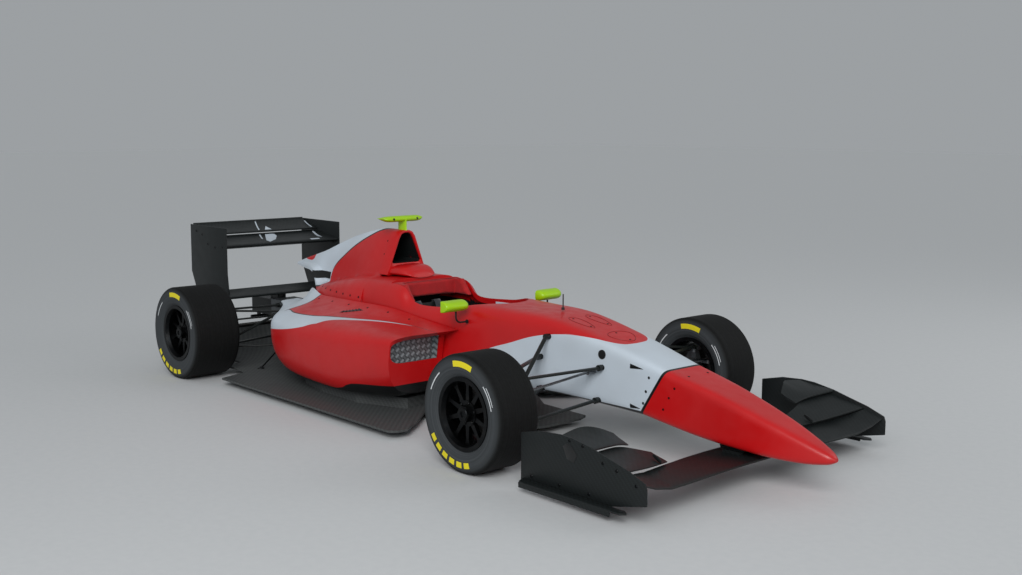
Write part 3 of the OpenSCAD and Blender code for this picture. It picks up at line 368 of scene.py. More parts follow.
@dataclass(frozen=True)
class Grained(Finish):
    """Cast, cut or moulded stock: a gleam that sand grain, tool lines or a mould's pebble breaks up."""

    colour: str = "#1A1B1C"
    worn: str = "#3C3A38"
    roughness: float = 0.5
    metallic: float = 1.0
    grain_mm: float = 1.5
    stretch: Triple = (1.0, 1.0, 1.0)
    depth_mm: float = 0.1

    def surface(self, tree: Tree, place: Socket) -> Inputs:
        """Builds the grain, stretched along the tool's way, and worn patches."""
        along = add(tree, "VectorMath", {0: place, 1: self.stretch}, operation="MULTIPLY")
        grain = self.patches(tree, along, self.grain_mm, (0.0, 1.0))
        wear = self.patches(tree, place, 40.0, (0.0, 0.3), 5.0)
        colour = add(tree, "Mix", {0: wear, 6: linear(self.colour), 7: linear(self.worn)}, 2, data_type="RGBA")
        span = {0: grain, 1: 0.0, 2: 1.0, 3: self.roughness - 0.07, 4: self.roughness + 0.1}
        rough = add(tree, "MapRange", span)
        normal = add(tree, "Bump", {"Height": grain, "Distance": self.depth_mm * MM, "Strength": 0.5})
        inputs = {"Base Color": colour, "Roughness": rough, "Normal": normal, "Metallic": self.metallic}
        return inputs if self.metallic else {**inputs, "IOR": 1.49}


@dataclass(frozen=True)
class Cloth(Finish):
    """Woven cover over foam, or webbing: crossed threads with a soft edge sheen."""

    colour: str = "#17181A"
    thread: str = "#2A2C2F"
    pitch_mm: float = 3.0
    sheen: float = 0.3

    def surface(self, tree: Tree, place: Socket) -> Inputs:
        """Builds crossed threads, drawn coarser than real so that they show, and handled patches."""
        x, y, z = add(tree, "SeparateXYZ", {0: place}).node.outputs
        turn = 2 * pi * per_mm(self.pitch_mm)
        waves = []
        for first, second, way in ((x, z, "ADD"), (y, z, "SUBTRACT")):
            run = add(tree, "Math", {0: first, 1: second}, operation=way)
            phase = add(tree, "Math", {0: run, 1: turn}, operation="MULTIPLY")
            waves.append(add(tree, "Math", {0: phase}, operation="SINE"))
        crossed = add(tree, "Math", {0: waves[0], 1: waves[1]}, operation="MULTIPLY")
        weave = add(tree, "MapRange", {0: crossed, 1: -1.0, 2: 1.0, 3: 0.0, 4: 1.0})
        colour = add(tree, "Mix", {0: weave, 6: linear(self.colour), 7: linear(self.thread)}, 2, data_type="RGBA")
        worn = {0: self.patches(tree, place, 50.0, (0.0, 0.5)), 6: colour, 7: linear("#C9C4BE")}
        colour = add(tree, "Mix", worn, 2, data_type="RGBA", blend_type="MULTIPLY")
        rough = add(tree, "MapRange", {0: weave, 1: 0.0, 2: 1.0, 3: 0.75, 4: 0.92})
        normal = add(tree, "Bump", {"Height": weave, "Distance": 0.25 * MM, "Strength": 0.5})
        return {"Base Color": colour, "Roughness": rough, "Normal": normal, "Sheen Weight": self.sheen}


@dataclass(frozen=True)
class Laminate(Finish):
    """Pressed beech laminate: long grain in thin layers, scraped pale along its length by the road."""

    colour: str = "#6B4A2C"
    late: str = "#3D2917"

    def surface(self, tree: Tree, place: Socket) -> Inputs:
        """Builds the grain along X and the scrapes of the road."""
        along = add(tree, "VectorMath", {0: place, 1: (0.05, 1.0, 1.0)}, operation="MULTIPLY")
        grain = self.patches(tree, along, 6.0, (0.0, 1.0), 5.0)
        scrape = self.patches(tree, along, 22.0, (0.0, 0.4), 4.0)
        colour = add(tree, "Mix", {0: grain, 6: linear(self.late), 7: linear(self.colour)}, 2, data_type="RGBA")
        colour = add(tree, "Mix", {0: scrape, 6: colour, 7: linear("#A08A6C")}, 2, data_type="RGBA")
        normal = add(tree, "Bump", {"Height": grain, "Distance": 0.2 * MM, "Strength": 0.6})
        return {"Base Color": colour, "Roughness": 0.7, "Normal": normal, "IOR": 1.5}


@dataclass(frozen=True)
class Gloss(Finish):
    """Silvered glass or a polished lens: a clean reflection with a few finger smears."""

    colour: str = "#D8DCE0"
    metallic: float = 1.0
    roughness: float = 0.04

    def surface(self, tree: Tree, place: Socket) -> Inputs:
        """Builds the smears."""
        smear = self.patches(tree, place, 25.0, (0.0, 0.3), 5.0)
        colour = add(tree, "Mix", {0: smear, 6: linear(self.colour), 7: linear("#4A4C4E")}, 2, data_type="RGBA")
        rough = add(tree, "MapRange", {0: smear, 1: 0.0, 2: 0.3, 3: self.roughness, 4: self.roughness + 0.2})
        return {"Base Color": colour, "Roughness": rough, "Metallic": self.metallic}


RED = "#C20B0F"
WHITE = "#C6D1DB"
LINE = "#0D0E0F"
FLUORESCENT = "#A2D200"
MARK_YELLOW = "#E8D81A"

# Satin resin over fine twill: almost black, with a green-grey gleam where the tows lie across the light.
CARBON = Carbon("satin_twill_carbon")
# The inlets are lined with a coarse cloth whose pale squares show from metres away.
COARSE_CARBON = Carbon(
    "duct_woven_carbon", dark="#060707", light="#9AA2A6", tow_mm=25.0, roughness=0.4, repeat=2.0,
    ways=((0.3, 0.7, 0.7), (0.3, -0.7, 0.7)),
)
# Sanded and never lacquered: the floor is a flat mid grey beside the wings.
GREY_COMPOSITE = Carbon("sanded_floor_composite", dark="#3A3C3C", light="#545757", tow_mm=9.0, roughness=0.6)
# Filament-wound tubes: black, with a narrow line of light along each.
SUSPENSION = Carbon("wound_carbon_tube", dark="#0C0E0D", light="#1C2120", tow_mm=5.0, roughness=0.38)
# Daylight fluorescent paint: flat and very bright, for the eye to find.
FLUORESCENT_PAINT = Paint("sprayed_fluorescent_paint", colour=FLUORESCENT, roughness=0.42, coat=0.05)
# One flat red under lacquer.
PLAIN_RED = Paint("red_two_pack_paint", colour=RED)
# A cool white under lacquer.
WHITE_PAINT = Paint("white_two_pack_paint", colour=WHITE)
# Black paint, less polished than the red; it also serves as painted shade in the tub's access holes, in the front
# plates' vents and under the louvre slats.
BLACK_PAINT_AND_SHADE = Paint("black_paint_and_painted_shade", colour=LINE, roughness=0.4)
# Paint in the shade of a narrow seam.
SEAM = Paint("red_paint_in_a_seam", colour="#7E080B", roughness=0.5)
# Poured in sand: grey, with a dull grainy gleam.
CAST_ALLOY = Grained("sand_cast_alloy", colour="#6E7275", roughness=0.5, grain_mm=2.5, depth_mm=0.3)
# Milled: bright, with fine lines along the cut.
MACHINED_ALLOY = Grained("milled_alloy", colour="#9A9DA0", roughness=0.32, stretch=(0.1, 1.0, 1.0))
# Anodised after turning: near black, still a metal where it faces the light.
DARK_ALLOY = Grained("dark_anodised_alloy", colour="#1E2022", roughness=0.4, stretch=(1.0, 0.2, 1.0))
# Ground and then rubbed by the pads: grey with fine rings.
BRAKE_STEEL = Grained("ground_brake_steel", colour="#5C5A58", roughness=0.34, grain_mm=1.0, stretch=(1.0, 0.1, 1.0))
# Centreless ground rod: smooth and bright.
ROD_STEEL = Grained("ground_rod_steel", colour="#7B7D80", roughness=0.3, stretch=(1.0, 0.1, 1.0))
# Injection moulded: black with a soft shine.
BLACK_PLASTIC = Grained("moulded_black_plastic", worn="#4A4B4B", metallic=0.0, depth_mm=0.06)
# Moulded silicone: dull, with a pebble that gives hold.
GRIP_RUBBER = Grained("moulded_grip_rubber", colour="#161616", roughness=0.72, metallic=0.0, grain_mm=2.5)
# Small keys, each moulded in its own colour.
RED_KEY = Grained("moulded_red_key", colour="#B3141A", worn="#C8585C", roughness=0.4, metallic=0.0)
YELLOW_KEY = Grained("moulded_yellow_key", colour="#D9B915", worn="#E4D277", roughness=0.4, metallic=0.0)
# Red cloth over foam: matt, with threads that show close by.
PAD_COVER = Cloth("red_pad_cover", colour="#A30C11", thread="#C01219", pitch_mm=4.0, sheen=0.1)
# Fire-proof cloth: matt black with a soft edge.
SEAT_CLOTH = Cloth("black_seat_cloth")
# Woven polyester: ribs across the strap.
WEBBING = Cloth("harness_webbing", colour="#22252B", thread="#3C4149", pitch_mm=5.0)
# Silver behind glass: a clean picture of the studio.
MIRROR_GLASS = Gloss("silvered_mirror_glass")
# Polycarbonate with prisms: a deep red that shines at its edges.
LENS = Gloss("moulded_red_lens", colour="#8A0A0E", metallic=0.0, roughness=0.12)
# Cover glass of a display that is switched off.
SCREEN = Gloss("dark_display_glass", colour="#0B0D0E", metallic=0.0, roughness=0.08)
# Resin-pressed wood: brown, with pale scrapes.
SKID_WOOD = Laminate("pressed_beech_laminate")
# Pad printing on rubber: flat colour that follows the pebble.
TYRE_YELLOW = Paint("yellow_tyre_print", colour=MARK_YELLOW, roughness=0.6, coat=0.0)
TYRE_WHITE = Paint("white_tyre_print", colour="#D6DADD", roughness=0.6, coat=0.0)


def smooth_rows(rows: Points, steps: int) -> Array:
    """Adds smooth steps between a table's rows.

    Args:
        rows: The table.
        steps: Steps from one row to the next.

    Returns:
        The finer table.
    """
    table = np.asarray(rows, float)
    last = len(table) - 1
    out = []
    for i in range(last):
        a, b, c, d = table[max(i - 1, 0)], table[i], table[i + 1], table[min(i + 2, last)]
        for k in range(steps):
            t = k / steps
            square, cube = a - 2.5 * b + 2 * c - d / 2, 1.5 * (b - c) + (d - a) / 2
            out.append(b + (c - a) * t / 2 + square * t**2 + cube * t**3)
    return np.array(out + [table[last]])


def signed_power(value: Array, power: float) -> Array:
    """Raises sizes to a power and keeps their signs."""
    return np.sign(value) * np.abs(value) ** power


def full_turn(count: int) -> Array:
    """Returns angles that are spread evenly round a circle."""
    return np.linspace(0, 2 * np.pi, count, endpoint=False)


def rectangle(first: Pair, last: Pair) -> list[Pair]:
    """Returns the corners of a rectangle in order, from two opposite ones."""
    return [first, (last[0], first[1]), last, (first[0], last[1])]


def rounded(square: float, count: int = 40) -> list[Pair]:
    """Returns a square of half width 1 with rounded corners."""
    turns = 2 * np.pi * (np.arange(count) + 0.5) / count
    across, up = (signed_power(way(turns), 2 / square) for way in (np.cos, np.sin))
    return [(float(u), float(v)) for u, v in zip(across, up)]


def box_ring(row: Point, count: int) -> Array:
    """Makes a rounded trapezium about X.

    Args:
        row: x, half width at the bottom, half width at the top, bottom z, top z, squareness, rake.
        count: Points in the ring.

    Returns:
        The ring's points.
    """
    across, height = np.array(rounded(row[5], count)).T
    up = (height + 1) / 2
    x = row[0] + row[6] * (up - 0.5)
    return np.stack([x, across * (row[1] + (row[2] - row[1]) * up), row[3] + (row[4] - row[3]) * up], -1)


def wing_ring(row: Point, count: int = 22) -> Array:
    """Makes an aerofoil across Y.

    Args:
        row: y, leading edge x, leading edge z, chord, angle in degrees, thickness and hollow over chord.
        count: Points on each of its faces.

    Returns:
        The ring's points, over the top from the tail and back below.
    """
    y, lead_x, lead_z, chord, angle, thick, hollow = row
    upper = np.linspace(1, 0, count, endpoint=False) ** WING_SPACING
    lower = np.linspace(0, 1, count) ** WING_SPACING
    s = np.concatenate([upper, lower])
    half = chord * (thick * WING_FULLNESS * np.sqrt(s) * (1 - s) + WING_TAIL)
    h = -4 * hollow * chord * s * (1 - s) + np.where(np.arange(len(s)) < count, half, -half)
    turn = radians(angle)
    x = lead_x - s * chord * cos(turn) + h * sin(turn)
    return np.stack([x, np.full_like(s, y), lead_z + s * chord * sin(turn) + h * cos(turn)], -1)


def strip_faces(count: int, rings: int, span: int) -> list[Face]:
    """Joins rings of as many points each by a span of faces from one ring to the next."""
    return [
        (k * count + i, k * count + (i + 1) % count, (k + 1) * count + (i + 1) % count, (k + 1) * count + i)
        for k in range(rings - 1) for i in range(span)
    ]


class Mesh:
    """Collects the points and faces of one piece."""

    def __init__(self) -> None:
        """Starts an empty piece."""
        self.points: list[Array] = []
        self.faces: list[Face] = []
        self.count = 0

    def put(self, points: Any, faces: Iterable[Face]) -> "Mesh":
        """Adds points and the faces between them.

        Args:
            points: Points in millimetres.
            faces: Faces by the points' numbers.

        Returns:
            The piece itself.
        """
        block = np.asarray(points, float).reshape(-1, 3)
        self.points.append(block)
        self.faces += [tuple(i + self.count for i in f) for f in faces]
        self.count += len(block)
        return self

    def loft(self, rings: Sequence[Array], caps: tuple[bool, bool] = (True, True), closed: bool = True) -> "Mesh":
        """Adds a skin through rings of as many points each.

        Args:
            rings: The rings in order.
            caps: Whether the first and the last ring are closed by a face.
            closed: Whether each ring is closed in itself.

        Returns:
            The piece itself.
        """
        n, m = len(rings[0]), len(rings)
        faces = strip_faces(n, m, n if closed else n - 1)
        if caps[0]:
            faces.append(tuple(range(n - 1, -1, -1)))
        if caps[1]:
            faces.append(tuple((m - 1) * n + i for i in range(n)))
        return self.put(np.concatenate(rings), faces)

    def prism(self, outline: Points, axis: int, start: float, end: float) -> "Mesh":
        """Adds a plate that is thick along one axis, with its outline in the two others, and returns the piece."""
        flat = np.asarray(outline, float)
        return self.loft([np.insert(flat, axis, level, axis=1) for level in (start, end)])

    def lathe(self, profile: Points, centre: Point, axis: Point, segments: int = 32, closed: bool = False) -> "Mesh":
        """Adds a turned form.

        Args:
            profile: Rows of radius and place along the axis.
            centre: The axis's origin.
            axis: The axis's direction.
            segments: Steps round the axis.
            closed: Whether the profile closes in itself.

        Returns:
            The piece itself.
        """
        way = Vector(axis).normalized()
        side = way.orthogonal().normalized() if abs(way.y) < 0.99 else Vector((1, 0, 0))
        other = way.cross(side) if abs(way.y) < 0.99 else Vector((0, 0, 1))
        turns = np.radians(np.linspace(0, 360, segments, endpoint=False))
        rows = np.asarray(profile, float)
        rings = []
        for turn in turns:
            spoke = np.array(side) * cos(turn) + np.array(other) * sin(turn)
            rings.append(np.array(centre) + rows[:, :1] * spoke + rows[:, 1:] * np.array(way))
        return self.loft(rings + rings[:1], (False, False), closed)

    def tube(self, path: Points, radius: float, sides: int = 10) -> "Mesh":
        """Adds a round rod along a path.

        Args:
            path: The path's points.
            radius: The rod's radius.
            sides: Points round the rod.

        Returns:
            The piece itself.
        """
        line = [Vector(p) for p in path]
        angles = [2 * pi * i / sides for i in range(sides)]
        rings, side = [], None
        for i, here in enumerate(line):
            way = (line[min(i + 1, len(line) - 1)] - line[max(i - 1, 0)]).normalized()
            side = way.orthogonal().normalized() if side is None else (side - way * side.dot(way)).normalized()
            other = way.cross(side)
            rings.append(np.array([here + (side * cos(a) + other * sin(a)) * radius for a in angles]))
        return self.loft(rings)

    def strap(self, path: Points, across: Points, width: float, thick: float) -> "Mesh":
        """Adds a flat strap along a path.

        Args:
            path: The middle of the strap.
            across: The direction of its width at each point.
            width: Its width.
            thick: Its thickness.

        Returns:
            The piece itself.
        """
        line = [Vector(p) for p in path]
        rings = []
        for i, here in enumerate(line):
            way = (line[min(i + 1, len(line) - 1)] - line[max(i - 1, 0)]).normalized()
            side = Vector(across[i])
            side = (side - way * side.dot(way)).normalized()
            up = way.cross(side)
            edge, lip = side * width / 2, up * thick / 2
            bevel = side * thick * 0.4
            corners = [edge - bevel + lip, edge, edge - bevel - lip, -edge + bevel - lip, -edge, -edge + bevel + lip]
            rings.append(np.array([here + c for c in corners]))
        return self.loft(rings)

    def move(self, origin: Point, axes: Points) -> "Mesh":
        """Moves the piece from its own X, Y and Z and its own origin to the car's, and returns it."""
        self.points = [block @ np.asarray(axes, float) + np.asarray(origin, float) for block in self.points]
        return self

    def object(self, name: str, sharp: float = 35.0, bevel: float = 0.0, merge: bool = True) -> Object:
        """Turns the piece to an object in the row's frame.

        Args:
            name: The object's name.
            sharp: Edges with a wider angle than this stay sharp, in degrees.
            bevel: Width of a bevel on sharp edges, in millimetres.
            merge: Whether points in the same place are joined.

        Returns:
            The object.
        """
        data = bpy.data.meshes.new(name)
        points = (np.concatenate(self.points) + [FRONT_AXLE, 0, 0]) * MM
        data.from_pydata(points.tolist(), [], self.faces)
        made = bpy.data.objects.new(name, data)
        bpy.context.scene.collection.objects.link(made)
        work = bmesh.new()
        work.from_mesh(data)
        if merge:
            bmesh.ops.remove_doubles(work, verts=work.verts, dist=1e-6)
        bmesh.ops.dissolve_degenerate(work, edges=work.edges, dist=1e-6)
        bmesh.ops.recalc_face_normals(work, faces=work.faces)
        if bevel:
            limit = radians(sharp)
            edges = [e for e in work.edges if len(e.link_faces) == 2 and e.calc_face_angle(0) > limit]
            size = {"offset": bevel * MM, "segments": 2, "profile": 0.5}
            bmesh.ops.bevel(work, geom=edges, affect="EDGES", clamp_overlap=True, **size)
        work.to_mesh(data)
        work.free()
        shade_edges(made, sharp)
        return made


def shade_edges(piece: Object, sharp: float) -> None:
    """Shades a piece smooth, apart from its sharp edges.

    Args:
        piece: The piece.
        sharp: Edges with a wider angle than this stay sharp, in degrees.
    """
    work = bmesh.new()
    work.from_mesh(piece.data)
    limit = radians(sharp)
    for face in work.faces:
        face.smooth = True
    for edge in work.edges:
        edge.smooth = not (len(edge.link_faces) == 2 and edge.calc_face_angle(0) > limit)
    work.to_mesh(piece.data)
    work.free()


def carve(piece: Object, cutters: Sequence[Object]) -> None:
    """Cuts forms out of a piece and removes them.

    Args:
        piece: The piece.
        cutters: The forms to cut out.
    """
    for cutter in cutters:
        cut = piece.modifiers.new("cut", "BOOLEAN")
        cut.object, cut.operation, cut.solver = cutter, "DIFFERENCE", "EXACT"
    apply_modifiers(piece)
    for cutter in cutters:
        bpy.data.objects.remove(cutter)


def apply_modifiers(piece: Object) -> None:
    """Makes a piece's modifiers part of its mesh."""
    bpy.context.view_layer.update()
    seen = piece.evaluated_get(bpy.context.evaluated_depsgraph_get())
    old = piece.data
    piece.data = bpy.data.meshes.new_from_object(seen)
    piece.modifiers.clear()
    bpy.data.meshes.remove(old)


def thicken(piece: Object, depth: float) -> None:
    """Gives an open sheet a thickness in millimetres to its inside, which gets the second finish."""
    while len(piece.data.materials) < 2:
        piece.data.materials.append(None)
    wall = piece.modifiers.new("wall", "SOLIDIFY")
    wall.thickness, wall.offset, wall.material_offset = depth * MM, -1.0, 1
    apply_modifiers(piece)


def inflate(piece: Object, voxel: float, cap: float, pressure: float = 4.0, frames: int = 20) -> None:
    """Blows a pad up as a cloth cover over foam.

    Args:
        piece: The pad, drawn a little smaller than it becomes.
        voxel: Size of the cloth's mesh, in millimetres.
        cap: The longest way that a point may move, in millimetres.
        pressure: Pressure inside the cover.
        frames: Steps of the simulation.
    """
    grid = piece.modifiers.new("grid", "REMESH")
    grid.mode, grid.voxel_size = "VOXEL", voxel * MM
    relax = piece.modifiers.new("relax", "SMOOTH")
    relax.factor, relax.iterations = 0.5, 3
    apply_modifiers(piece)
    start = [v.co.copy() for v in piece.data.vertices]
    cover = piece.modifiers.new("cover", "CLOTH")
    cover.settings.use_pressure = True
    cover.settings.uniform_pressure_force = pressure
    cover.settings.effector_weights.gravity = 0.0
    cover.point_cache.frame_start, cover.point_cache.frame_end = 1, frames
    for step in range(1, frames + 1):
        bpy.context.scene.frame_set(step)
    apply_modifiers(piece)
    bpy.context.scene.frame_set(1)
    for vertex, home in zip(piece.data.vertices, start):
        way = vertex.co - home
        vertex.co = home + way * min(1.0, cap * MM / max(way.length, 1e-9))
    soft = piece.modifiers.new("soft", "SUBSURF")
    soft.levels = soft.render_levels = 1
    apply_modifiers(piece)
    shade_edges(piece, 180)


def fit(piece: Object, finish: Finish, body: str = "chassis", stands_for: Sequence[str] = (),
        inner: Optional[Finish] = None) -> Object:
    """Gives a piece its finish and its place on a body.

    Args:
        piece: The piece.
        finish: Its finish.
        body: The body that it rides on.
        stands_for: The CAD nodes that it replaces.
        inner: The finish of the faces that are marked as its inside.

    Returns:
        The piece.
    """
    slots = piece.data.materials
    for k, own in enumerate([finish] + ([inner] if inner else [])):
        if k < len(slots):
            slots[k] = own.material()
        else:
            slots.append(own.material())
    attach(piece, body)
    if stands_for:
        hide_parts(*stands_for)
    LOG.info("%s: %d faces on %s", piece.name, len(piece.data.polygons), body)
    return piece


def coat(frame: Frame, finish: Finish, *nodes: str) -> None:
    """Gives CAD nodes a finish.

    Args:
        frame: The loaded frame.
        finish: The finish.
        *nodes: The nodes' names.
    """
    for name in nodes:
        node = frame["nodes"][name]
        if not node.material_slots:
            node.data.materials.append(None)
        for place in node.material_slots:
            place.material = finish.material()
        LOG.info("%s: %s", name, finish.name)


class Surface:
    """A finished panel that other pieces are laid on."""

    def __init__(self, panel: Object) -> None:
        """Reads the panel's mesh."""
        work = bmesh.new()
        work.from_mesh(panel.data)
        self.tree = BVHTree.FromBMesh(work)
        work.free()

    def hit(self, point: Point, way: Point) -> Optional[tuple[Vector, Vector]]:
        """Finds where a line meets the panel.

        Args:
            point: Where the line starts, in millimetres.
            way: The line's direction.

        Returns:
            The point in millimetres and the panel's outward normal, or nothing where the line misses.
        """
        start = (Vector(point) + ORIGIN) * MM
        place, normal, _, _ = self.tree.ray_cast(start, Vector(way))
        if place is None:
            return None
        if normal.dot(Vector(way)) > 0:
            normal = -normal
        return place / MM - ORIGIN, normal

    def drop(self, point: Point, way: Point, rise: float = 0.0) -> Optional[Vector]:
        """Finds the place at a distance over the panel where a line meets it, or nothing."""
        found = self.hit(point, way)
        return None if found is None else found[0] + found[1] * rise

    def line(self, points: Iterable[Point], way: Point, rise: float = 0.0) -> list[Vector]:
        """Drops a row of points on the panel and leaves out those that miss."""
        found = [self.drop(p, way, rise) for p in points]
        return [p for p in found if p is not None]

    def patch(self, made: Mesh, outline: Points, way: Point, rise: float = 0.6, rings: int = 3) -> None:
        """Adds a thin patch that follows the panel.

        Args:
            made: The piece to add it to.
            outline: The patch's outline before it is dropped on the panel.
            way: The direction in which it is dropped.
            rise: Distance from the panel.
            rings: Steps from the outline to its middle.
        """
        edge = np.asarray(outline, float)
        middle = edge.mean(0)
        rows = [self.line(middle + (edge - middle) * (1 - k / rings), way, rise) for k in range(rings)]
        heart = self.drop(middle, way, rise)
        n = len(edge)
        if heart is None or any(len(r) != n for r in rows):
            LOG.warning("a patch runs over the panel's edge")
            return
        faces = strip_faces(n, rings, n)
        faces += [((rings - 1) * n + i, (rings - 1) * n + (i + 1) % n, rings * n) for i in range(n)]
        made.put([list(p) for r in rows for p in r] + [list(heart)], faces)

    def stud(self, made: Mesh, point: Point, way: Point, radius: float) -> None:
        """Adds a quarter-turn fastener: a dished head in a thin cup.

        Args:
            made: The piece to add it to.
            point: Where the line to the panel starts.
            way: The line's direction.
            radius: The head's radius.
        """
        found = self.hit(point, way)
        if found is None:
            LOG.warning("a stud misses its panel")
            return
        r = radius
        profile = [(0.1, 0.2), (r * 0.45, 0.3), (r * 0.6, 1.0), (r * 0.9, 1.1), (r, 0.5), (r * 1.05, -1.5)]
        made.lathe(profile, found[0], found[1], 20)


def resample(outline: Points, count: int) -> Array:
    """Spaces points evenly round an outline.

    Args:
        outline: The outline's corners, in order and closed.
        count: Points that are wanted.

    Returns:
        The points, the first of them in the place of the first corner.
    """
    ring = np.asarray(list(outline) + [outline[0]], float)
    run = np.concatenate([[0], np.cumsum(np.linalg.norm(np.diff(ring, axis=0), axis=1))])
    marks = np.linspace(0, run[-1], count, endpoint=False)
    return np.stack([np.interp(marks, run, ring[:, k]) for k in range(ring.shape[1])], -1)


def x_edge(points: Line, height: Axis, below: bool) -> Edge:
    """Makes an edge that runs along the car."""
    return Edge(Axis.X, height, points, below)


def cross_edge(x: float, below: bool) -> Edge:
    """Makes an edge that runs across the car."""
    return x_edge(((x - LINE_WIDTH, -LINE_REACH), (x, LINE_REACH)), Axis.Z, below)


def raked_edge(x: float, below: bool) -> Edge:
    """Makes an edge that is parallel to the raked joint between tub and nose."""
    return Edge(Axis.Z, Axis.X, tuple((z, x + JOINT_RAKE * (z - JOINT_MIDDLE)) for z in JOINT_ENDS), below)


@dataclass
class Monocoque:
    """The tub that the driver sits in, with its cockpit opening and the pads of the front suspension."""

    rows: Table = (
        (490, 156, 140, 236, 474, 9, 140), (160, 182, 172, 245, 569, 8, 50), (-200, 205, 200, 245, 643, 7, 0),
        (-520, 234, 228, 205, 655, 6, 0), (-820, 268, 258, 115, 655, 6, 0), (-1230, 293, 285, 58.3, 622, 6, 0),
        (-1370, 298.5, 289, 52.3, 708, 6, 0), (-1560, 300, 284, 50.3, 718, 6, 0), (-1740, 300, 274, 50.3, 710, 6, 0),
    )
    wall: float = 22.0
    opening: Quad = (-970.0, 330.0, 235.0, -1500.0)
    opening_floor: float = 535.0
    opening_top: float = 860.0
    hollow: Pair = (-1680.0, 330.0)
    rim_width: float = 9.0
    rim_angle: float = 62.0
    pads: Line = ((181, 440), (-230, 440), (160, 272), (-230, 272), (-178, 552))
    pad_profile: Line = ((0.1, -14), (15, -14), (15, 6), (13, 8), (8, 8), (7, 10), (0.1, 10))
    joint_line: float = 10.0
    joint_studs: Line = ((438, 300), (452, 360), (468, 430))
    lining: Triple = (-1700.0, 335.0, 566.0)
    white_top: Line = (
        (-745, 40), (-732, 200), (-720, 300), (-690, 380), (-657, 409), (-439, 489), (-290, 538), (-163, 564),
        (-110, 571), (-80, 574), (-51, 575), (20, 566), (100, 540), (300, 440),
    )
    tongue: Line = (
        (-82, 189.5), (-51, 185.5), (0, 179), (50, 171), (106, 159), (193, 131), (243, 84), (251, 41), (254, -6),
        (640, -10),
    )
    tongue_end: float = -82.0
    # Heights along the tub's bottom edge under which it is painted black as shade, where its side turns under.
    underside_shade_line: Line = ((-240, 244), (-200, 263), (160, 264), (490, 257))
    darts: tuple[Line, ...] = (
        ((353, 484), (353, 460), (437, 466)), ((359, 287), (359, 265), (425, 270)),
    )
    # An access hole on each side, not cut but drawn as a black disc of painted shade: x, z and radius.
    hole: Triple = (177.0, 505.0, 22.0)
    hatches: tuple[Quad, ...] = ((-75, 62, 90, 32), (-75, -62, 90, 32), (157, 0, 67, 75))
    hatch_taper: float = 0.3
    hatch_studs: Pair = (-0.72, 0.72)
    trim_ends: Pair = (-862.0, -1092.0)
    trim_depth: float = 26.0

    def finish(self) -> Paint:
        """Returns the tub's paint: red over white, a black line at the nose, and black painted shade along the tub's
        bottom edge.
        """
        ahead = cross_edge(self.tongue_end, True)
        return Paint("tub_two_pack_paint", colour=RED, fields=(
            ColourField(WHITE, (x_edge(self.white_top, Axis.Z, True),)),
            ColourField(WHITE, (ahead, x_edge(self.tongue, Axis.OUT, False))),
            # Painted shade: black along the tub's bottom edge, where its side turns under.
            ColourField(LINE, (x_edge(self.underside_shade_line, Axis.Z, True),)),
            ColourField(LINE, (raked_edge(self.rows[0][0] - self.joint_line, False),)),
        ))

    def row(self, x: float) -> list[float]:
        """Returns the tub's row at a place along it."""
        table = smooth_rows(self.rows, 3)[::-1]
        return [float(np.interp(x, table[:, 0], table[:, k])) for k in range(7)]

    def side(self, x: float, z: float) -> float:
        """Returns the tub's half width at a place along it and a height."""
        row = self.row(x)
        t = min(max((z - row[3]) / (row[4] - row[3]), 0.0), 1.0)
        return float((row[1] + (row[2] - row[1]) * t) * (1 - abs(2 * t - 1) ** row[5]) ** (1 / row[5]))

    def outline(self) -> list[Pair]:
        """Returns the cockpit opening from above."""
        centre, length, half, back = self.opening
        turns = np.radians(np.linspace(-90, 90, 48))
        return [(centre + length * cos(t), half * sin(t)) for t in turns] + [(back, half), (back, -half)]

    def build(self) -> Surface:
        """Builds the tub, cuts its inside and its opening, and returns its surface."""
        rows = smooth_rows(self.rows, 8)
        shell = Mesh().loft([box_ring(r, 112) for r in rows]).object("tub_shell", 30)
        w, (back, front) = self.wall, self.hollow
        inner = [[r[0], r[1] - w, r[2] - w, r[3] + w, r[4] - w, r[5], 0] for r in rows if back < r[0] < front]
        inside = Mesh().loft([box_ring(r, 80) for r in inner]).object("tub_inside")
        opening = Mesh().prism(self.outline(), 2, self.opening_floor, self.opening_top).object("tub_opening")
        carve(shell, [inside, opening])
        self.mark_inside(shell)
        shade_edges(shell, 30)
        surface = Surface(shell)
        rim = shell.modifiers.new("rim", "BEVEL")
        rim.width, rim.segments = self.rim_width * MM, 3
        rim.limit_method, rim.angle_limit = "ANGLE", radians(self.rim_angle)
        fit(shell, self.finish(), stands_for=["monocoque"], inner=CARBON)
        return surface

    def mark_inside(self, shell: Object) -> None:
        """Gives the faces inside the tub its second finish."""
        table = smooth_rows(self.rows, 8)[::-1]
        back, front, top = self.lining
        for face in shell.data.polygons:
            x, y, z = face.center / MM - ORIGIN
            low, high = (np.interp(x, table[:, 0], table[:, k]) for k in (3, 4))
            within = low + self.wall - 1 < z < high - self.wall + 1 and abs(y) < self.side(x, z) - self.wall / 2
            face.material_index = int(within and back < x < front and z < top)

    def build_pads(self) -> None:
        """Builds the turned pads that carry the suspension's feet."""
        made = Mesh()
        for x, z in self.pads:
            y = self.side(x, z)
            for hand in HANDS:
                made.lathe(self.pad_profile, (x, hand * y, z), (0, hand, 0), 24)
        fit(made.object("suspension_pads"), DARK_ALLOY)

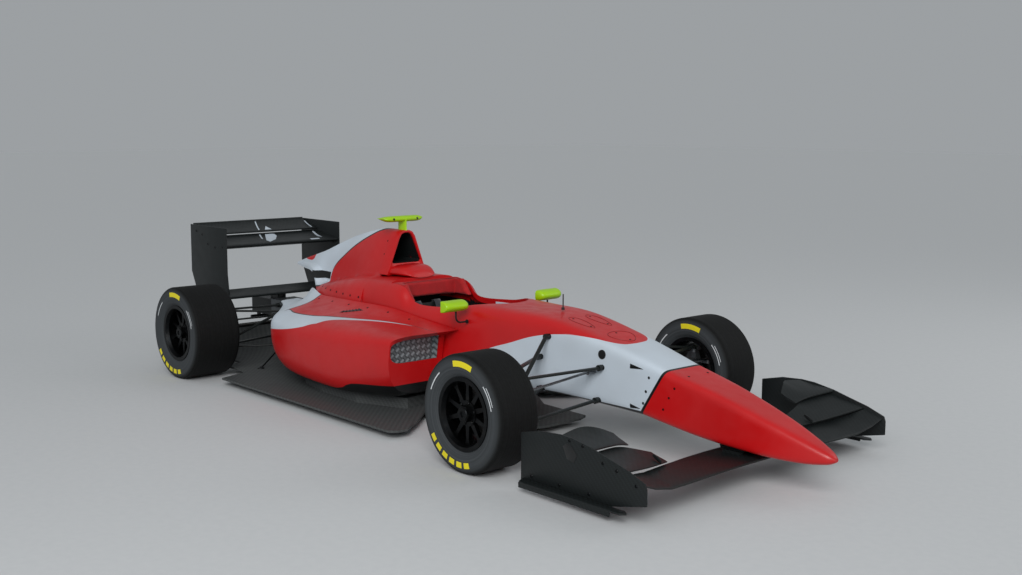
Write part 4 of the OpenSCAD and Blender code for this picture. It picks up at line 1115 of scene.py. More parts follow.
    def build_marks(self, surface: Surface) -> None:
        """Builds the access holes as black discs of painted shade, the darts, the hatches' seams and their studs."""
        black, seams, studs = Mesh(), Mesh(), Mesh()
        x0, z0, radius = self.hole
        for hand in HANDS:
            way, side = (0, -hand, 0), hand * BESIDE_TUB
            # Painted shade: the hole is a black disc with a black rim, not an opening.
            ring = [(x0 + radius * cos(t), side, z0 + radius * sin(t)) for t in full_turn(28)]
            surface.patch(black, ring, way)
            rim = surface.line(ring, way, 0.8)
            black.tube(rim + rim[:1], 1.8, 8)
            for dart in self.darts:
                surface.patch(black, resample([(x, side, z) for x, z in dart], 24), way)
            for x, z in self.joint_studs:
                surface.stud(studs, (x, side, z), way, 7.0)
        for x, y, length, half in self.hatches:
            loop = [
                (x + length * cos(t), y + half * sin(t) * (1 - self.hatch_taper * cos(t)), OVER_CAR)
                for t in full_turn(56)
            ]
            path = surface.line(loop, DOWN, 0.2)
            seams.tube(path + path[:1], 1.6, 6)
            for share in self.hatch_studs:
                surface.stud(studs, (x + length * share, y, OVER_CAR), DOWN, 6.0)
        fit(black.object("tub_black_darts_and_hole_shade", 60), BLACK_PAINT_AND_SHADE)
        fit(seams.object("tub_hatch_seams", 60), SEAM)
        fit(studs.object("tub_studs", 30), DARK_ALLOY)

    def build_trim(self, surface: Surface) -> None:
        """Builds the white strips inside the sides of the opening."""
        made = Mesh()
        centre, length, half, _ = self.opening
        for hand in HANDS:
            rings = []
            for x in np.linspace(*self.trim_ends, 24):
                y = half * sqrt(1 - max(0.0, (x - centre) / length) ** 2)
                top = surface.drop((x, hand * (y + 16), OVER_CAR), DOWN)
                z = (top.z if top is not None else 640.0) - 3
                corners = rectangle((y - 3.5, z), (y + 0.5, z - self.trim_depth))
                rings.append(np.array([(x, hand * a, b) for a, b in corners]))
            made.loft(rings)
        fit(made.object("cockpit_trim", 40, 0.6), WHITE_PAINT)


@dataclass
class NoseCone:
    """The nose with its blunt tip and the pylons that hold the front wing."""

    rows: Table = (
        (490.3, 156, 140, 236, 474, 9, 140), (800, 138, 120, 186, 412, 8, 70), (1080, 104, 100, 160, 337, 6, 24),
        (1270, 76, 70, 158, 279, 4.2, 0), (1390, 44, 38, 171, 232, 2.8, 0), (1430, 14, 12, 188, 206, 2.2, 0),
    )
    pylon: Line = ((850, 150), (980, 150), (1010, 180), (1010, 230), (810, 250))
    pylon_faces: Pair = (62.0, 71.0)
    joint_line: float = 496.5
    side_studs: Line = ((560, 290), (590, 350), (620, 400))
    top_stud: Pair = (650.0, 70.0)

    def build(self) -> None:
        """Builds the nose, its pylons and the studs behind its joint."""
        rows = smooth_rows(self.rows, 10)
        line = ColourField(LINE, (raked_edge(self.joint_line, True),))
        paint = Paint("nose_two_pack_paint", colour=RED, fields=(line,))
        shell = Mesh().loft([box_ring(r, 96) for r in rows]).object("nose_shell", 30)
        fit(shell, paint, stands_for=["nose_cone"])
        legs, studs = Mesh(), Mesh()
        surface = Surface(shell)
        for hand in HANDS:
            legs.prism(self.pylon, 1, *(hand * y for y in self.pylon_faces))
            for x, z in self.side_studs:
                surface.stud(studs, (x, hand * BESIDE_TUB, z), (0, -hand, 0), 6.0)
            surface.stud(studs, (self.top_stud[0], hand * self.top_stud[1], OVER_CAR), DOWN, 6.0)
        fit(legs.object("nose_pylons", 30, 2.0), CARBON)
        fit(studs.object("nose_studs", 30), DARK_ALLOY)


@dataclass
class RollHoop:
    """The roll hoop that frames the air intake, and the dome in front of it."""

    dome: Table = (
        (-1490, 62, 40, 716.5, 731, 2.4, -4), (-1496, 92, 62, 717, 748, 2.5, -12),
        (-1510, 112, 76, 719.5, 763.5, 2.6, -18), (-1566, 136, 102, 719.5, 787, 2.8, -16),
        (-1663, 146, 112, 719.5, 784, 3, -20),
    )
    front: float = -1655.0
    back: float = -1739.7
    outside: Line = ((0, 719.5), (140, 719.5), (150, 726), (68, 950), (48, 980), (22, 990))
    intake: Line = ((0, 790), (96, 790), (108, 802), (52, 938), (36, 964), (16, 974))
    duct_depths: tuple[float, ...] = (90.0, 180.0, 260.0)
    duct_taper: float = 900.0

    def frame_outline(self, inner: bool) -> Array:
        """Returns the hoop's outline from the front, outside or round the intake."""
        right = list(self.intake if inner else self.outside)
        return resample(right + [(-y, z) for y, z in right[:0:-1]], 120)

    def ring(self, x: float, share: float) -> Array:
        """Returns a ring between the hoop's outside and the intake at a place along the car."""
        flat = self.frame_outline(False) * (1 - share) + self.frame_outline(True) * share
        return np.insert(flat, 0, x, axis=1)

    def build(self) -> None:
        """Builds the hoop, the dome and the dark duct behind the intake."""
        lip = [
            (self.back, 0.0), (self.front - 7, 0.0), (self.front - 2, 0.12), (self.front, 0.4), (self.front, 0.6),
            (self.front - 2, 0.88), (self.front - 7, 1.0), (self.back, 1.0), (self.back, 0.0),
        ]
        hoop = Mesh().loft([self.ring(x, s) for x, s in lip], (False, False)).object("roll_hoop_frame", 40)
        fit(hoop, PLAIN_RED, stands_for=["roll_hoop"])
        rows = smooth_rows(self.dome, 10)
        fit(Mesh().loft([box_ring(r, 72) for r in rows]).object("hoop_dome", 40), PLAIN_RED)
        rings = [self.ring(self.front - 12, 1.02)]
        for depth in self.duct_depths:
            ring = self.ring(self.front - depth, 1.05)
            ring[:, 1] *= 1 - depth / self.duct_taper
            rings.append(ring)
        fit(Mesh().loft(rings, (False, True)).object("intake_duct", 40), CARBON)


@dataclass
class EngineCover:
    """The cover over the engine, with its spine, its thin tail and the hot air slot below it."""

    rows: Table = (
        (-1740.3, 274, 710, 170, 70, 480, 990), (-1900, 268, 700, 165, 62, 480, 984),
        (-2150, 238, 655, 135, 44, 480, 928), (-2340, 196, 610, 106, 32, 492, 866),
        (-2450, 136, 610, 82, 26, 550, 826), (-2560, 92, 690, 64, 20, 652, 788),
        (-2750, 40, 696, 34, 14, 666, 734), (-2890, 9, 684, 8, 6, 674, 690),
    )
    skin: float = 7.0
    slot: Quad = (-2580.0, -2395.0, 622.0, 668.0)
    beak: Line = (
        (-2900, 560), (-2402, 590), (-2388, 640), (-2378, 679), (-2351, 721), (-2251, 795), (-2122, 874), (-1966, 947),
        (-1870, 984), (-1740, 1012),
    )
    tip: Line = ((-2790, 735), (-2768, 722), (-2700, 719), (-2655, 732), (-2640, 800))
    tip_start: float = -2650.0
    line_width: float = 9.0
    foot_studs: tuple[float, float, int, float] = (-1770.0, -2330.0, 7, 590.0)
    front_stud: float = -1762.0
    front_stud_heights: Triple = (760.0, 840.0, 920.0)

    def half_width(self, row: Point, z: float) -> float:
        """Returns the cover's half width at a height of a row."""
        s = min(max((z - row[5]) / (row[6] - row[5]), 0.0), 1.0)
        h = min(max((z - row[5]) / (row[2] - row[5]), 0.0), 1.0)
        spine = (row[3] + (row[4] - row[3]) * s) * (1 - s**5) ** 0.4
        hump = row[1] * (1 - h**4) ** 0.3
        return (spine**3 + hump**3) ** (1 / 3)

    def foot(self, x: float) -> float:
        """Returns the half width of the cover's lower edge at a place along the car."""
        table = smooth_rows(self.rows, 3)[::-1]
        wide = [np.interp(x, table[:, 0], table[:, k]) for k in (1, 3)]
        return float((wide[0] ** 3 + wide[1] ** 3) ** (1 / 3))

    def ring(self, row: Point, steps: int = 44) -> Array:
        """Returns a row's open ring from the left edge over the crest to the right edge."""
        heights = row[5] + (row[6] - row[5]) * (1 - (1 - np.linspace(0, 1, steps)) ** 1.8)
        left = [(row[0], self.half_width(row, z), z) for z in heights]
        return np.array(left + [(x, -y, z) for x, y, z in left[-2::-1]])

    def finish(self) -> Paint:
        """Returns the cover's paint: a white beak behind a black line, and a red tip."""
        line = tuple((x, z - self.line_width) for x, z in self.beak)
        return Paint("cover_two_pack_paint", colour=RED, fields=(
            ColourField(LINE, (x_edge(line, Axis.Z, False),)),
            ColourField(WHITE, (x_edge(self.beak, Axis.Z, False),)),
            ColourField(RED, (x_edge(self.tip, Axis.Z, False), cross_edge(self.tip_start, False))),
        ))

    def build(self) -> None:
        """Builds the cover's skin, cuts its slot and sets its studs."""
        rows = smooth_rows(self.rows, 10)
        shell = Mesh().loft([self.ring(r) for r in rows], (False, False), False).object("cover_shell", 40)
        thicken(shell, self.skin)
        back, front, low, high = self.slot
        hole = Mesh().prism(rectangle((back, low), (front, high)), 1, -BESIDE_TUB, BESIDE_TUB)
        carve(shell, [hole.object("cover_slot")])
        shade_edges(shell, 40)
        fit(shell, self.finish(), stands_for=["engine_cover"], inner=BLACK_PAINT_AND_SHADE)
        studs, surface = Mesh(), Surface(shell)
        first, last, count, height = self.foot_studs
        for hand in HANDS:
            way, side = (0, -hand, 0), hand * BESIDE_COVER
            for x in np.linspace(first, last, count):
                surface.stud(studs, (x, side, height), way, 7.0)
            for z in self.front_stud_heights:
                surface.stud(studs, (self.front_stud, side, z), way, 6.0)
        fit(studs.object("cover_studs", 30), DARK_ALLOY)


@dataclass
class Sidepods:
    """The two sidepods with their inlets, drawn in to the gearbox at the back."""

    tub: Monocoque
    cover: EngineCover
    gap: float = 8.0
    lip_gap: float = 9.7
    wall: float = 8.0
    upper: Line = (
        (-2420, 470), (-2249, 488), (-2055, 548), (-1921, 557), (-1709, 532), (-1480, 495), (-1277, 445), (-1142, 416),
        (-1060, 402),
    )
    lower_out: Line = (
        (-1800, 720), (-1700, 624), (-1641, 577), (-1449, 516), (-1240, 451), (-1060, 402),
    )
    lower_up: Line = (
        (-2800, 360), (-2300, 368), (-2164, 384), (-2007, 405), (-1825, 440), (-1700, 474), (-1640, 480),
    )
    sill: Line = (
        (-2420, 330), (-2250, 202), (-2050, 150), (-1750, 132), (-1520, 128), (-1422, 142), (-1350, 170), (-1290, 186),
        (-1100, 204), (-950, 216),
    )
    louvre: Line = ((-1722, 454), (-1586, 376), (-1633, 366), (-1736, 427))
    tail: float = -2250.0
    hollow: Pair = (-2180.0, -1200.0)
    lining_steps: Triple = (0.04, 0.3, 0.34)
    lining_share: float = 0.985
    stud_row: tuple[float, float, int] = (-1180.0, -2200.0, 6)
    stud_edge: Line = ((-2250, 250), (-2050, 290), (-1740, 318), (-1080, 318))

    def finish(self) -> Paint:
        """Returns the pods' paint: a white sweep with a black line, a white tail and a black sill."""
        line = tuple((x, y - (9 if x < -1500 else 4)) for x, y in self.upper)
        above, out = x_edge(self.lower_up, Axis.Z, False), x_edge(self.lower_out, Axis.OUT, True)
        rear = self.tail
        behind = Edge(Axis.OUT, Axis.X, ((0, rear), (500, rear), (700, rear + 20)), True)
        ahead = Edge(Axis.OUT, Axis.X, ((0, rear + 12), (500, rear + 12), (560, rear - 600)), True)
        return Paint("pod_two_pack_paint", colour=RED, fields=(
            ColourField(LINE, (x_edge(line, Axis.OUT, False), above, out)),
            ColourField(WHITE, (x_edge(self.upper, Axis.OUT, False), above, out)),
            ColourField(LINE, (ahead, above)),
            ColourField(WHITE, (behind, above)),
            ColourField(LINE, (x_edge(self.sill, Axis.Z, True),)),
        ))

    def rows(self) -> list[Point]:
        """Returns the table of the left pod's rings."""
        near, foot, g = self.tub.side, self.cover.foot, self.gap
        return [
            (-950, near(-950, 400) + self.lip_gap, 656, 450, 160, 415, 503, 509, 4.5, 2.6, 0.16, 100),
            (-1080, near(-1080, 400) + g, 676, 490, 122, 400, 511, 531, 4, 2.4, 0.1, 0),
            (-1400, 300.3, 690, 600, 115, 360, 517, 567, 3.4, 2.4, 0, 0),
            (-1750, 300.3, 690, 596, 115, 352, 513, 567, 3, 2.4, 0, 0),
            (-2050, foot(-2050) + g, 666, 550, 125, 352, 503, 559, 3, 2.4, 0, 0),
            (-2250, foot(-2250) + g, 610, 480, 180, 372, 491, 553, 3, 2.4, 0, 0),
            (-2420, foot(-2380) + g, 460, 370, 320, 408, 479, 573, 3, 2.4, 0, 0),
            (-2600, 120, 310, 260, 426, 444, 467, 477, 3, 2.4, 0, 0),
            (-2760, 100, 225, 205, 436, 446, 457, 459, 3, 2.4, 0, 0),
        ]

    def ring(self, row: Point, fine: int = 26) -> Array:
        """Returns a row's closed ring: over the top, down the inner wall and out below."""
        top = np.radians(np.linspace(0, 90, fine))
        c, s = np.cos(top) ** (2 / row[8]), np.sin(top) ** (2 / row[8])
        height = row[5] + (row[6] - row[5]) * s + (row[7] - row[6]) * (1 - c) ** 4
        over = np.stack([row[1] + (row[2] - row[1]) * c, height], -1)
        wall = np.stack([np.full(8, row[1]), np.linspace(row[7], row[4], 10)[1:-1]], -1)
        below = np.radians(np.linspace(-90, -6, fine))
        c, s = np.abs(np.cos(below)) ** (2 / row[9]), np.abs(np.sin(below)) ** (2 / row[9])
        under = np.stack([row[3] + (row[2] - row[3]) * c, row[5] - (row[5] - row[4]) * s], -1)
        flat = np.concatenate([over, wall, [[row[1], row[4]]], under])
        y, z = flat[:, 0], flat[:, 1]
        lip = np.maximum(0, 1 - np.maximum(0, row[6] - z) / 34)
        inboard = np.clip((row[2] - y) / (row[2] - row[1]), 0, 1)
        x = row[0] + row[10] * (z - 400) + row[11] * lip * (0.3 + 0.7 * inboard)
        return np.stack([x, y - row[11] * lip * 0.2 * inboard**4, z], -1)

    def build(self) -> None:
        """Builds both pods, their inlets and their louvres."""
        rows = smooth_rows(self.rows(), 10)
        start = rows[0][1]
        inlet = (-950, start + 34, 648, 540, 340, 420, 471, 471, 4, 3, 0.16, 0)
        throat = (-1060, start + 34, 642, 560, 325, 400, 475, 475, 4, 2.6, 0, 0)
        w, (back, front) = self.wall, self.hollow
        inside = [
            [r[0], r[1] + w, r[2] - w, r[3] - w, r[4] + w, r[5], r[6] - w, r[7] - w, *r[8:10], 0, 0]
            for r in rows if back <= r[0] <= front
        ]
        skin = [self.ring(r) for r in (*inside[::-1], throat, inlet, *rows)]
        for name, hand in (("left", 1), ("right", -1)):
            pod = Mesh().loft([r * [1, hand, 1] for r in skin]).object(f"pod_shell_{name}", 38)
            fit(pod, self.finish(), stands_for=[f"sidepod_{name}"])
            self.build_duct(name, hand, inlet, throat)
            self.build_louvre(name, hand, Surface(pod))

    def build_duct(self, name: str, hand: int, inlet: Point, throat: Point) -> None:
        """Builds the woven lining that shows in an inlet.

        Args:
            name: The side's name.
            hand: 1 on the left and -1 on the right.
            inlet: The inlet's row.
            throat: The throat's row.
        """
        front, back = self.ring(inlet), self.ring(throat)
        rings = []
        for share in self.lining_steps:
            ring = front * (1 - share) + back * share
            middle = ring.mean(0)
            rings.append((middle + (ring - middle) * self.lining_share) * [1, hand, 1])
        lining = Mesh().loft(rings, (False, True)).object(f"inlet_lining_{name}", 30)
        fit(lining, COARSE_CARBON)

    def build_louvre(self, name: str, hand: int, surface: Surface) -> None:
        """Builds the slatted outlet on a pod's top, with a black patch of painted shade under its slats, and the studs
        along its inner edge.

        Args:
            name: The side's name.
            hand: 1 on the left and -1 on the right.
            surface: The pod's surface.
        """
        base, slats, studs = Mesh(), Mesh(), Mesh()
        corners = np.array([(x, hand * y, OVER_CAR) for x, y in self.louvre], float)
        # Painted shade: a black patch under the slats stands for the dark inside of the outlet.
        surface.patch(base, resample(corners, 40), DOWN)
        for share in np.linspace(0.1, 0.9, 6):
            ends = corners[0] + (corners[1] - corners[0]) * share, corners[3] + (corners[2] - corners[3]) * share
            path = surface.line([ends[0] + (ends[1] - ends[0]) * t for t in np.linspace(0.06, 0.94, 6)], DOWN, 2.0)
            slats.strap(path, [(0.9, 0, 0.35)] * len(path), 12.0, 2.0)
        for x in np.linspace(*self.stud_row):
            edge = np.interp(x, *zip(*self.stud_edge))
            surface.stud(studs, (x, hand * (edge + 26), OVER_CAR), DOWN, 7.0)
        fit(base.object(f"louvre_painted_shade_{name}", 60), BLACK_PAINT_AND_SHADE)
        fit(slats.object(f"louvre_slats_{name}", 30), BLACK_PLASTIC)
        fit(studs.object(f"pod_studs_{name}", 30), DARK_ALLOY)


@dataclass
class FrontWing:
    """The front wing: one plane across, two flaps a side and the plates at its ends."""

    plane: Table = (
        (882, 1112, 182, 104, 19, 0.06, 0.03), (800, 1106, 154, 140, 14, 0.06, 0.03),
        (690, 1096, 132, 172, 11, 0.06, 0.035), (560, 1084, 128, 190, 9, 0.06, 0.035),
        (420, 1074, 128, 215, 5, 0.055, 0.03), (250, 1066, 129, 250, 1, 0.05, 0.02),
        (120, 1062, 129, 262, 0, 0.05, 0.02),
    )
    flaps: tuple[Table, ...] = (
        ((882, 1006, 218, 196, 12.5, 0.05, 0.04), (700, 952, 190, 190, 17, 0.05, 0.05),
         (600, 924, 178, 146, 19, 0.05, 0.05), (490, 890, 166, 100, 15, 0.05, 0.04)),
        ((882, 824, 276, 204, 7, 0.05, 0.04), (760, 800, 266, 196, 14, 0.05, 0.05),
         (690, 786, 257, 150, 20, 0.05, 0.05), (620, 776, 242, 100, 22, 0.05, 0.05)),
    )
    plate: Line = (
        (370, 50), (900, 50), (1127, 101), (1127, 170), (1118, 194), (1021, 230), (910, 258), (819, 282), (700, 302),
        (622, 306), (500, 298), (370, 268),
    )
    # The outline of a vent on each front plate; it is not cut, and a black plate in it is painted shade.
    vent_shade_outline: Line = ((641, 259), (665, 277), (696, 266), (727, 232), (709, 198), (666, 206))
    foot: Line = ((380, 888), (1010, 888), (1040, 910), (1020, 934), (440, 940), (400, 930))
    plate_faces: Pair = (882.0, 890.0)
    vent_shade_depth: float = 1.2
    bracket: Line = ((886, 190), (918, 176), (918, 192), (896, 204), (872, 212), (866, 204))
    bracket_places: Pair = (560.0, 790.0)
    bracket_slope: float = 0.09
    screws: Line = ((960, 216), (880, 232), (760, 282), (680, 290), (1070, 176), (440, 80), (620, 80), (800, 80))

    def build(self) -> None:
        """Builds the plane, the flaps and the plates."""
        table = np.array(self.plane)
        fine = [a + (b - a) * t for a, b in zip(table, table[1:]) for t in np.linspace(0, 1, 6, endpoint=False)]
        fine.append(table[-1])
        rows = fine + [r * [-1, 1, 1, 1, 1, 1, 1] for r in fine[::-1]]
        main = Mesh().loft([wing_ring(r) for r in rows])
        for hand in HANDS:
            main.prism(rectangle((870, hand * 54), (970, hand * 79)), 2, 126, 150)
        fit(main.object("front_plane", 40), CARBON, stands_for=["front_wing_plane"])
        flaps = Mesh()
        for rows in self.flaps:
            for hand in HANDS:
                flaps.loft([wing_ring([r[0] * hand, *r[1:]]) for r in smooth_rows(rows, 12)])
        fit(flaps.object("front_flaps", 40), CARBON, stands_for=["front_wing_flaps"])
        plates = Mesh()
        for hand in HANDS:
            plates.prism(self.plate, 1, *(hand * y for y in self.plate_faces))
            plates.prism([(x, hand * y) for x, y in self.foot], 2, 50, 58)
            plates.prism(rectangle((400, hand * 926), (960, hand * 934)), 2, 28, 52)
        fit(plates.object("front_plates", 30, 1.6), CARBON, stands_for=["front_wing_plates"])
        self.build_fittings()

    def build_fittings(self) -> None:
        """Builds the flaps' brackets, the plates' screws, and black plates painted as the shade inside their vents."""
        brackets, screws, vent_shades = Mesh(), Mesh(), Mesh()
        face = self.plate_faces[1]
        for hand in HANDS:
            # Painted shade: a thin black plate stands for the dark inside of the vent.
            vent_shades.prism(self.vent_shade_outline, 1, hand * face, hand * (face + self.vent_shade_depth))
            for y in self.bracket_places:
                rise = (y - self.bracket_places[0]) * self.bracket_slope
                brackets.prism([(x, z + rise) for x, z in self.bracket], 1, hand * y, hand * (y + 5))
            for x, z in self.screws:
                screws.lathe(SCREW_HEAD, (x, hand * face, z), (0, hand, 0), 16)
        fit(brackets.object("flap_brackets", 30, 0.8), CARBON)
        fit(screws.object("front_plate_screws", 30), DARK_ALLOY)
        fit(vent_shades.object("front_plate_vent_shades", 30, 0.8), BLACK_PAINT_AND_SHADE)


@dataclass
class RearWing:
    """The rear wing: two planes between plates, and a beam wing below."""

    planes: Table = ((448, -3071, 804, 300, 9, 0.06, 0.07), (448, -3345, 866, 205, 17, 0.05, 0.07))
    beam: Point = (448, -3050, 455, 190, 10, 0.06, 0.06)
    plate: Line = (
        (-3565, 928), (-3065, 928), (-3065, 620), (-3045, 470), (-3075, 410), (-3435, 400), (-3475, 430), (-3565, 600),
    )
    stripes: tuple[Line, ...] = (
        ((-3532, 34), (-3528, 42), (-3362, -24), (-3362, -34)),
        ((-3338, -34), (-3338, -46), (-3222, -90), (-3226, -78)),
        ((-3444, 72), (-3362, 18), (-3362, 74)),
        ((-3338, 4), (-3338, 76), (-3291, 71), (-3184, -1), (-3096, -97), (-3157, -91)),
        ((-3505, 432), (-3500, 441), (-3362, 416), (-3362, 402)),
        ((-3338, 396), (-3338, 412), (-3140, 358), (-3194, 349)),
        ((-3082, 226), (-3082, 300), (-3112, 304), (-3112, 232)),
    )
    plate_faces: Pair = (448.0, 456.0)
    screws: Line = (
        (-3120, 800), (-3220, 790), (-3320, 806), (-3400, 866), (-3480, 886), (-3110, 448), (-3200, 452),
    )
    lip: Line = ((-3541, 922), (-3538, 922), (-3543, 936), (-3546, 936))
    lip_half: float = 446.0

    def straight(self, row: Point, count: int = 12) -> list[Array]:
        """Returns the rings of a plane that is the same across its width."""
        return [wing_ring([y, *row[1:]], 26) for y in np.linspace(row[0], -row[0], count)]

    def build(self) -> None:
        """Builds the planes, the plates with their screws and the beam wing."""
        planes = Mesh()
        for row in self.planes:
            planes.loft(self.straight(row))
        wing = fit(planes.object("rear_planes", 40), CARBON, stands_for=["rear_wing_planes"])
        plates, screws = Mesh(), Mesh()
        for hand in HANDS:
            plates.prism(self.plate, 1, *(hand * y for y in self.plate_faces))
            for x, z in self.screws:
                screws.lathe(SCREW_HEAD, (x, hand * self.plate_faces[1], z), (0, hand, 0), 16)
        fit(plates.object("rear_plates", 30, 1.6), CARBON, stands_for=["rear_wing_plates"])
        beam = Mesh().loft(self.straight(self.beam))
        for hand in HANDS:
            beam.prism(rectangle((-3220, 400), (-3120, 466)), 1, hand * 20, hand * 32)
        fit(beam.object("rear_beam", 40), CARBON, stands_for=["beam_wing"])
        fit(screws.object("rear_plate_screws", 30), DARK_ALLOY)
        self.build_stripes(Surface(wing))

    def build_stripes(self, surface: Surface) -> None:
        """Builds the slanted white stripes on the planes and the lip on the upper one's tail."""
        white = Mesh()
        for stripe in self.stripes:
            surface.patch(white, resample([(x, y, OVER_WING) for x, y in stripe], 40), DOWN, 0.5)
        fit(white.object("rear_wing_stripes", 60), WHITE_PAINT)
        lip = Mesh().prism(self.lip, 1, -self.lip_half, self.lip_half)
        fit(lip.object("rear_wing_lip", 30, 0.6), CARBON)


@dataclass
class CameraPod:
    """The aerofoil pod on top of the roll hoop and its stalk."""

    rows: Table = (
        (150, -1692, 1062, 62, 0, 0.04, 0), (120, -1670, 1058, 100, 0, 0.15, 0), (40, -1660, 1058, 110, 0, 0.16, 0),
    )
    stalk: Triple = (-1697.5, 41.0, 10.0)
    stalk_rings: Line = ((988, 1.1), (994, 1.02), (1006, 1.0), (1044, 1.0), (1056, 1.08))
    eye: Triple = (-1662.0, 88.0, 1059.0)
    eye_profile: Line = ((0.1, 3.0), (4.5, 2.6), (6.0, 1.0), (6.5, -6.0))

    def build(self) -> None:
        """Builds the pod, its stalk and the dark windows in its ends."""
        table = list(self.rows) + [(-r[0], *r[1:]) for r in self.rows[::-1]]
        pod = Mesh().loft([wing_ring(r, 18) for r in smooth_rows(table, 10)])
        fit(pod.object("camera_pod_shell", 40), FLUORESCENT_PAINT, stands_for=["camera_pod"])
        x, length, half = self.stalk
        turns = full_turn(32)
        rings = [
            np.stack([x + length * g * np.cos(turns), half * g * np.sin(turns), np.full_like(turns, z)], -1)
            for z, g in self.stalk_rings
        ]
        fit(Mesh().loft(rings).object("camera_pod_stalk", 40), FLUORESCENT_PAINT)
        eyes = Mesh()
        for hand in HANDS:
            eyes.lathe(self.eye_profile, np.array(self.eye) * [1, hand, 1], (1, 0, 0), 20)
        fit(eyes.object("camera_pod_eyes", 40), SCREEN)


@dataclass
class Mirrors:
    """The two mirrors: rounded shells, their glasses and the finish of their stalks."""

    centre: Pair = (-786.0, 656.0)
    rows: tuple[Triple, ...] = (
        (430, 38, 28), (424, 52, 31), (386, 60, 31), (306, 62, 31), (276, 50, 28), (266, 16, 14),
    )
    glass: Triple = (351.0, 65.0, 22.0)

    def build(self, frame: Frame) -> None:
        """Builds the shells and the glasses and dresses the stalks."""
        coat(frame, CARBON, "mirror_stalks")
        shells, glasses = Mesh(), Mesh()
        x0, z0 = self.centre
        turns = np.radians(np.linspace(90, 270, 30))
        middle, half_width, half_height = self.glass
        for hand in HANDS:
            rings = []
            for y, depth, half in smooth_rows(self.rows, 6):
                front = np.stack([x0 - depth * np.cos(turns), np.full(30, hand * y), z0 + half * np.sin(turns)], -1)
                back = np.stack([np.full(10, x0), np.full(10, hand * y), z0 + np.linspace(-half, half, 12)[1:-1]], -1)
                rings.append(np.concatenate([front, back]))
            shells.loft(rings)
            edge = [(hand * (middle + half_width * c), z0 + half_height * s) for c, s in rounded(4.0)]
            glasses.prism(edge, 0, x0 - 2.6, x0 + 0.5)
        fit(shells.object("mirror_shells", 40), FLUORESCENT_PAINT, stands_for=["mirror_housings"])
        fit(glasses.object("mirror_faces", 40, 0.8), MIRROR_GLASS, stands_for=["mirror_glasses"])


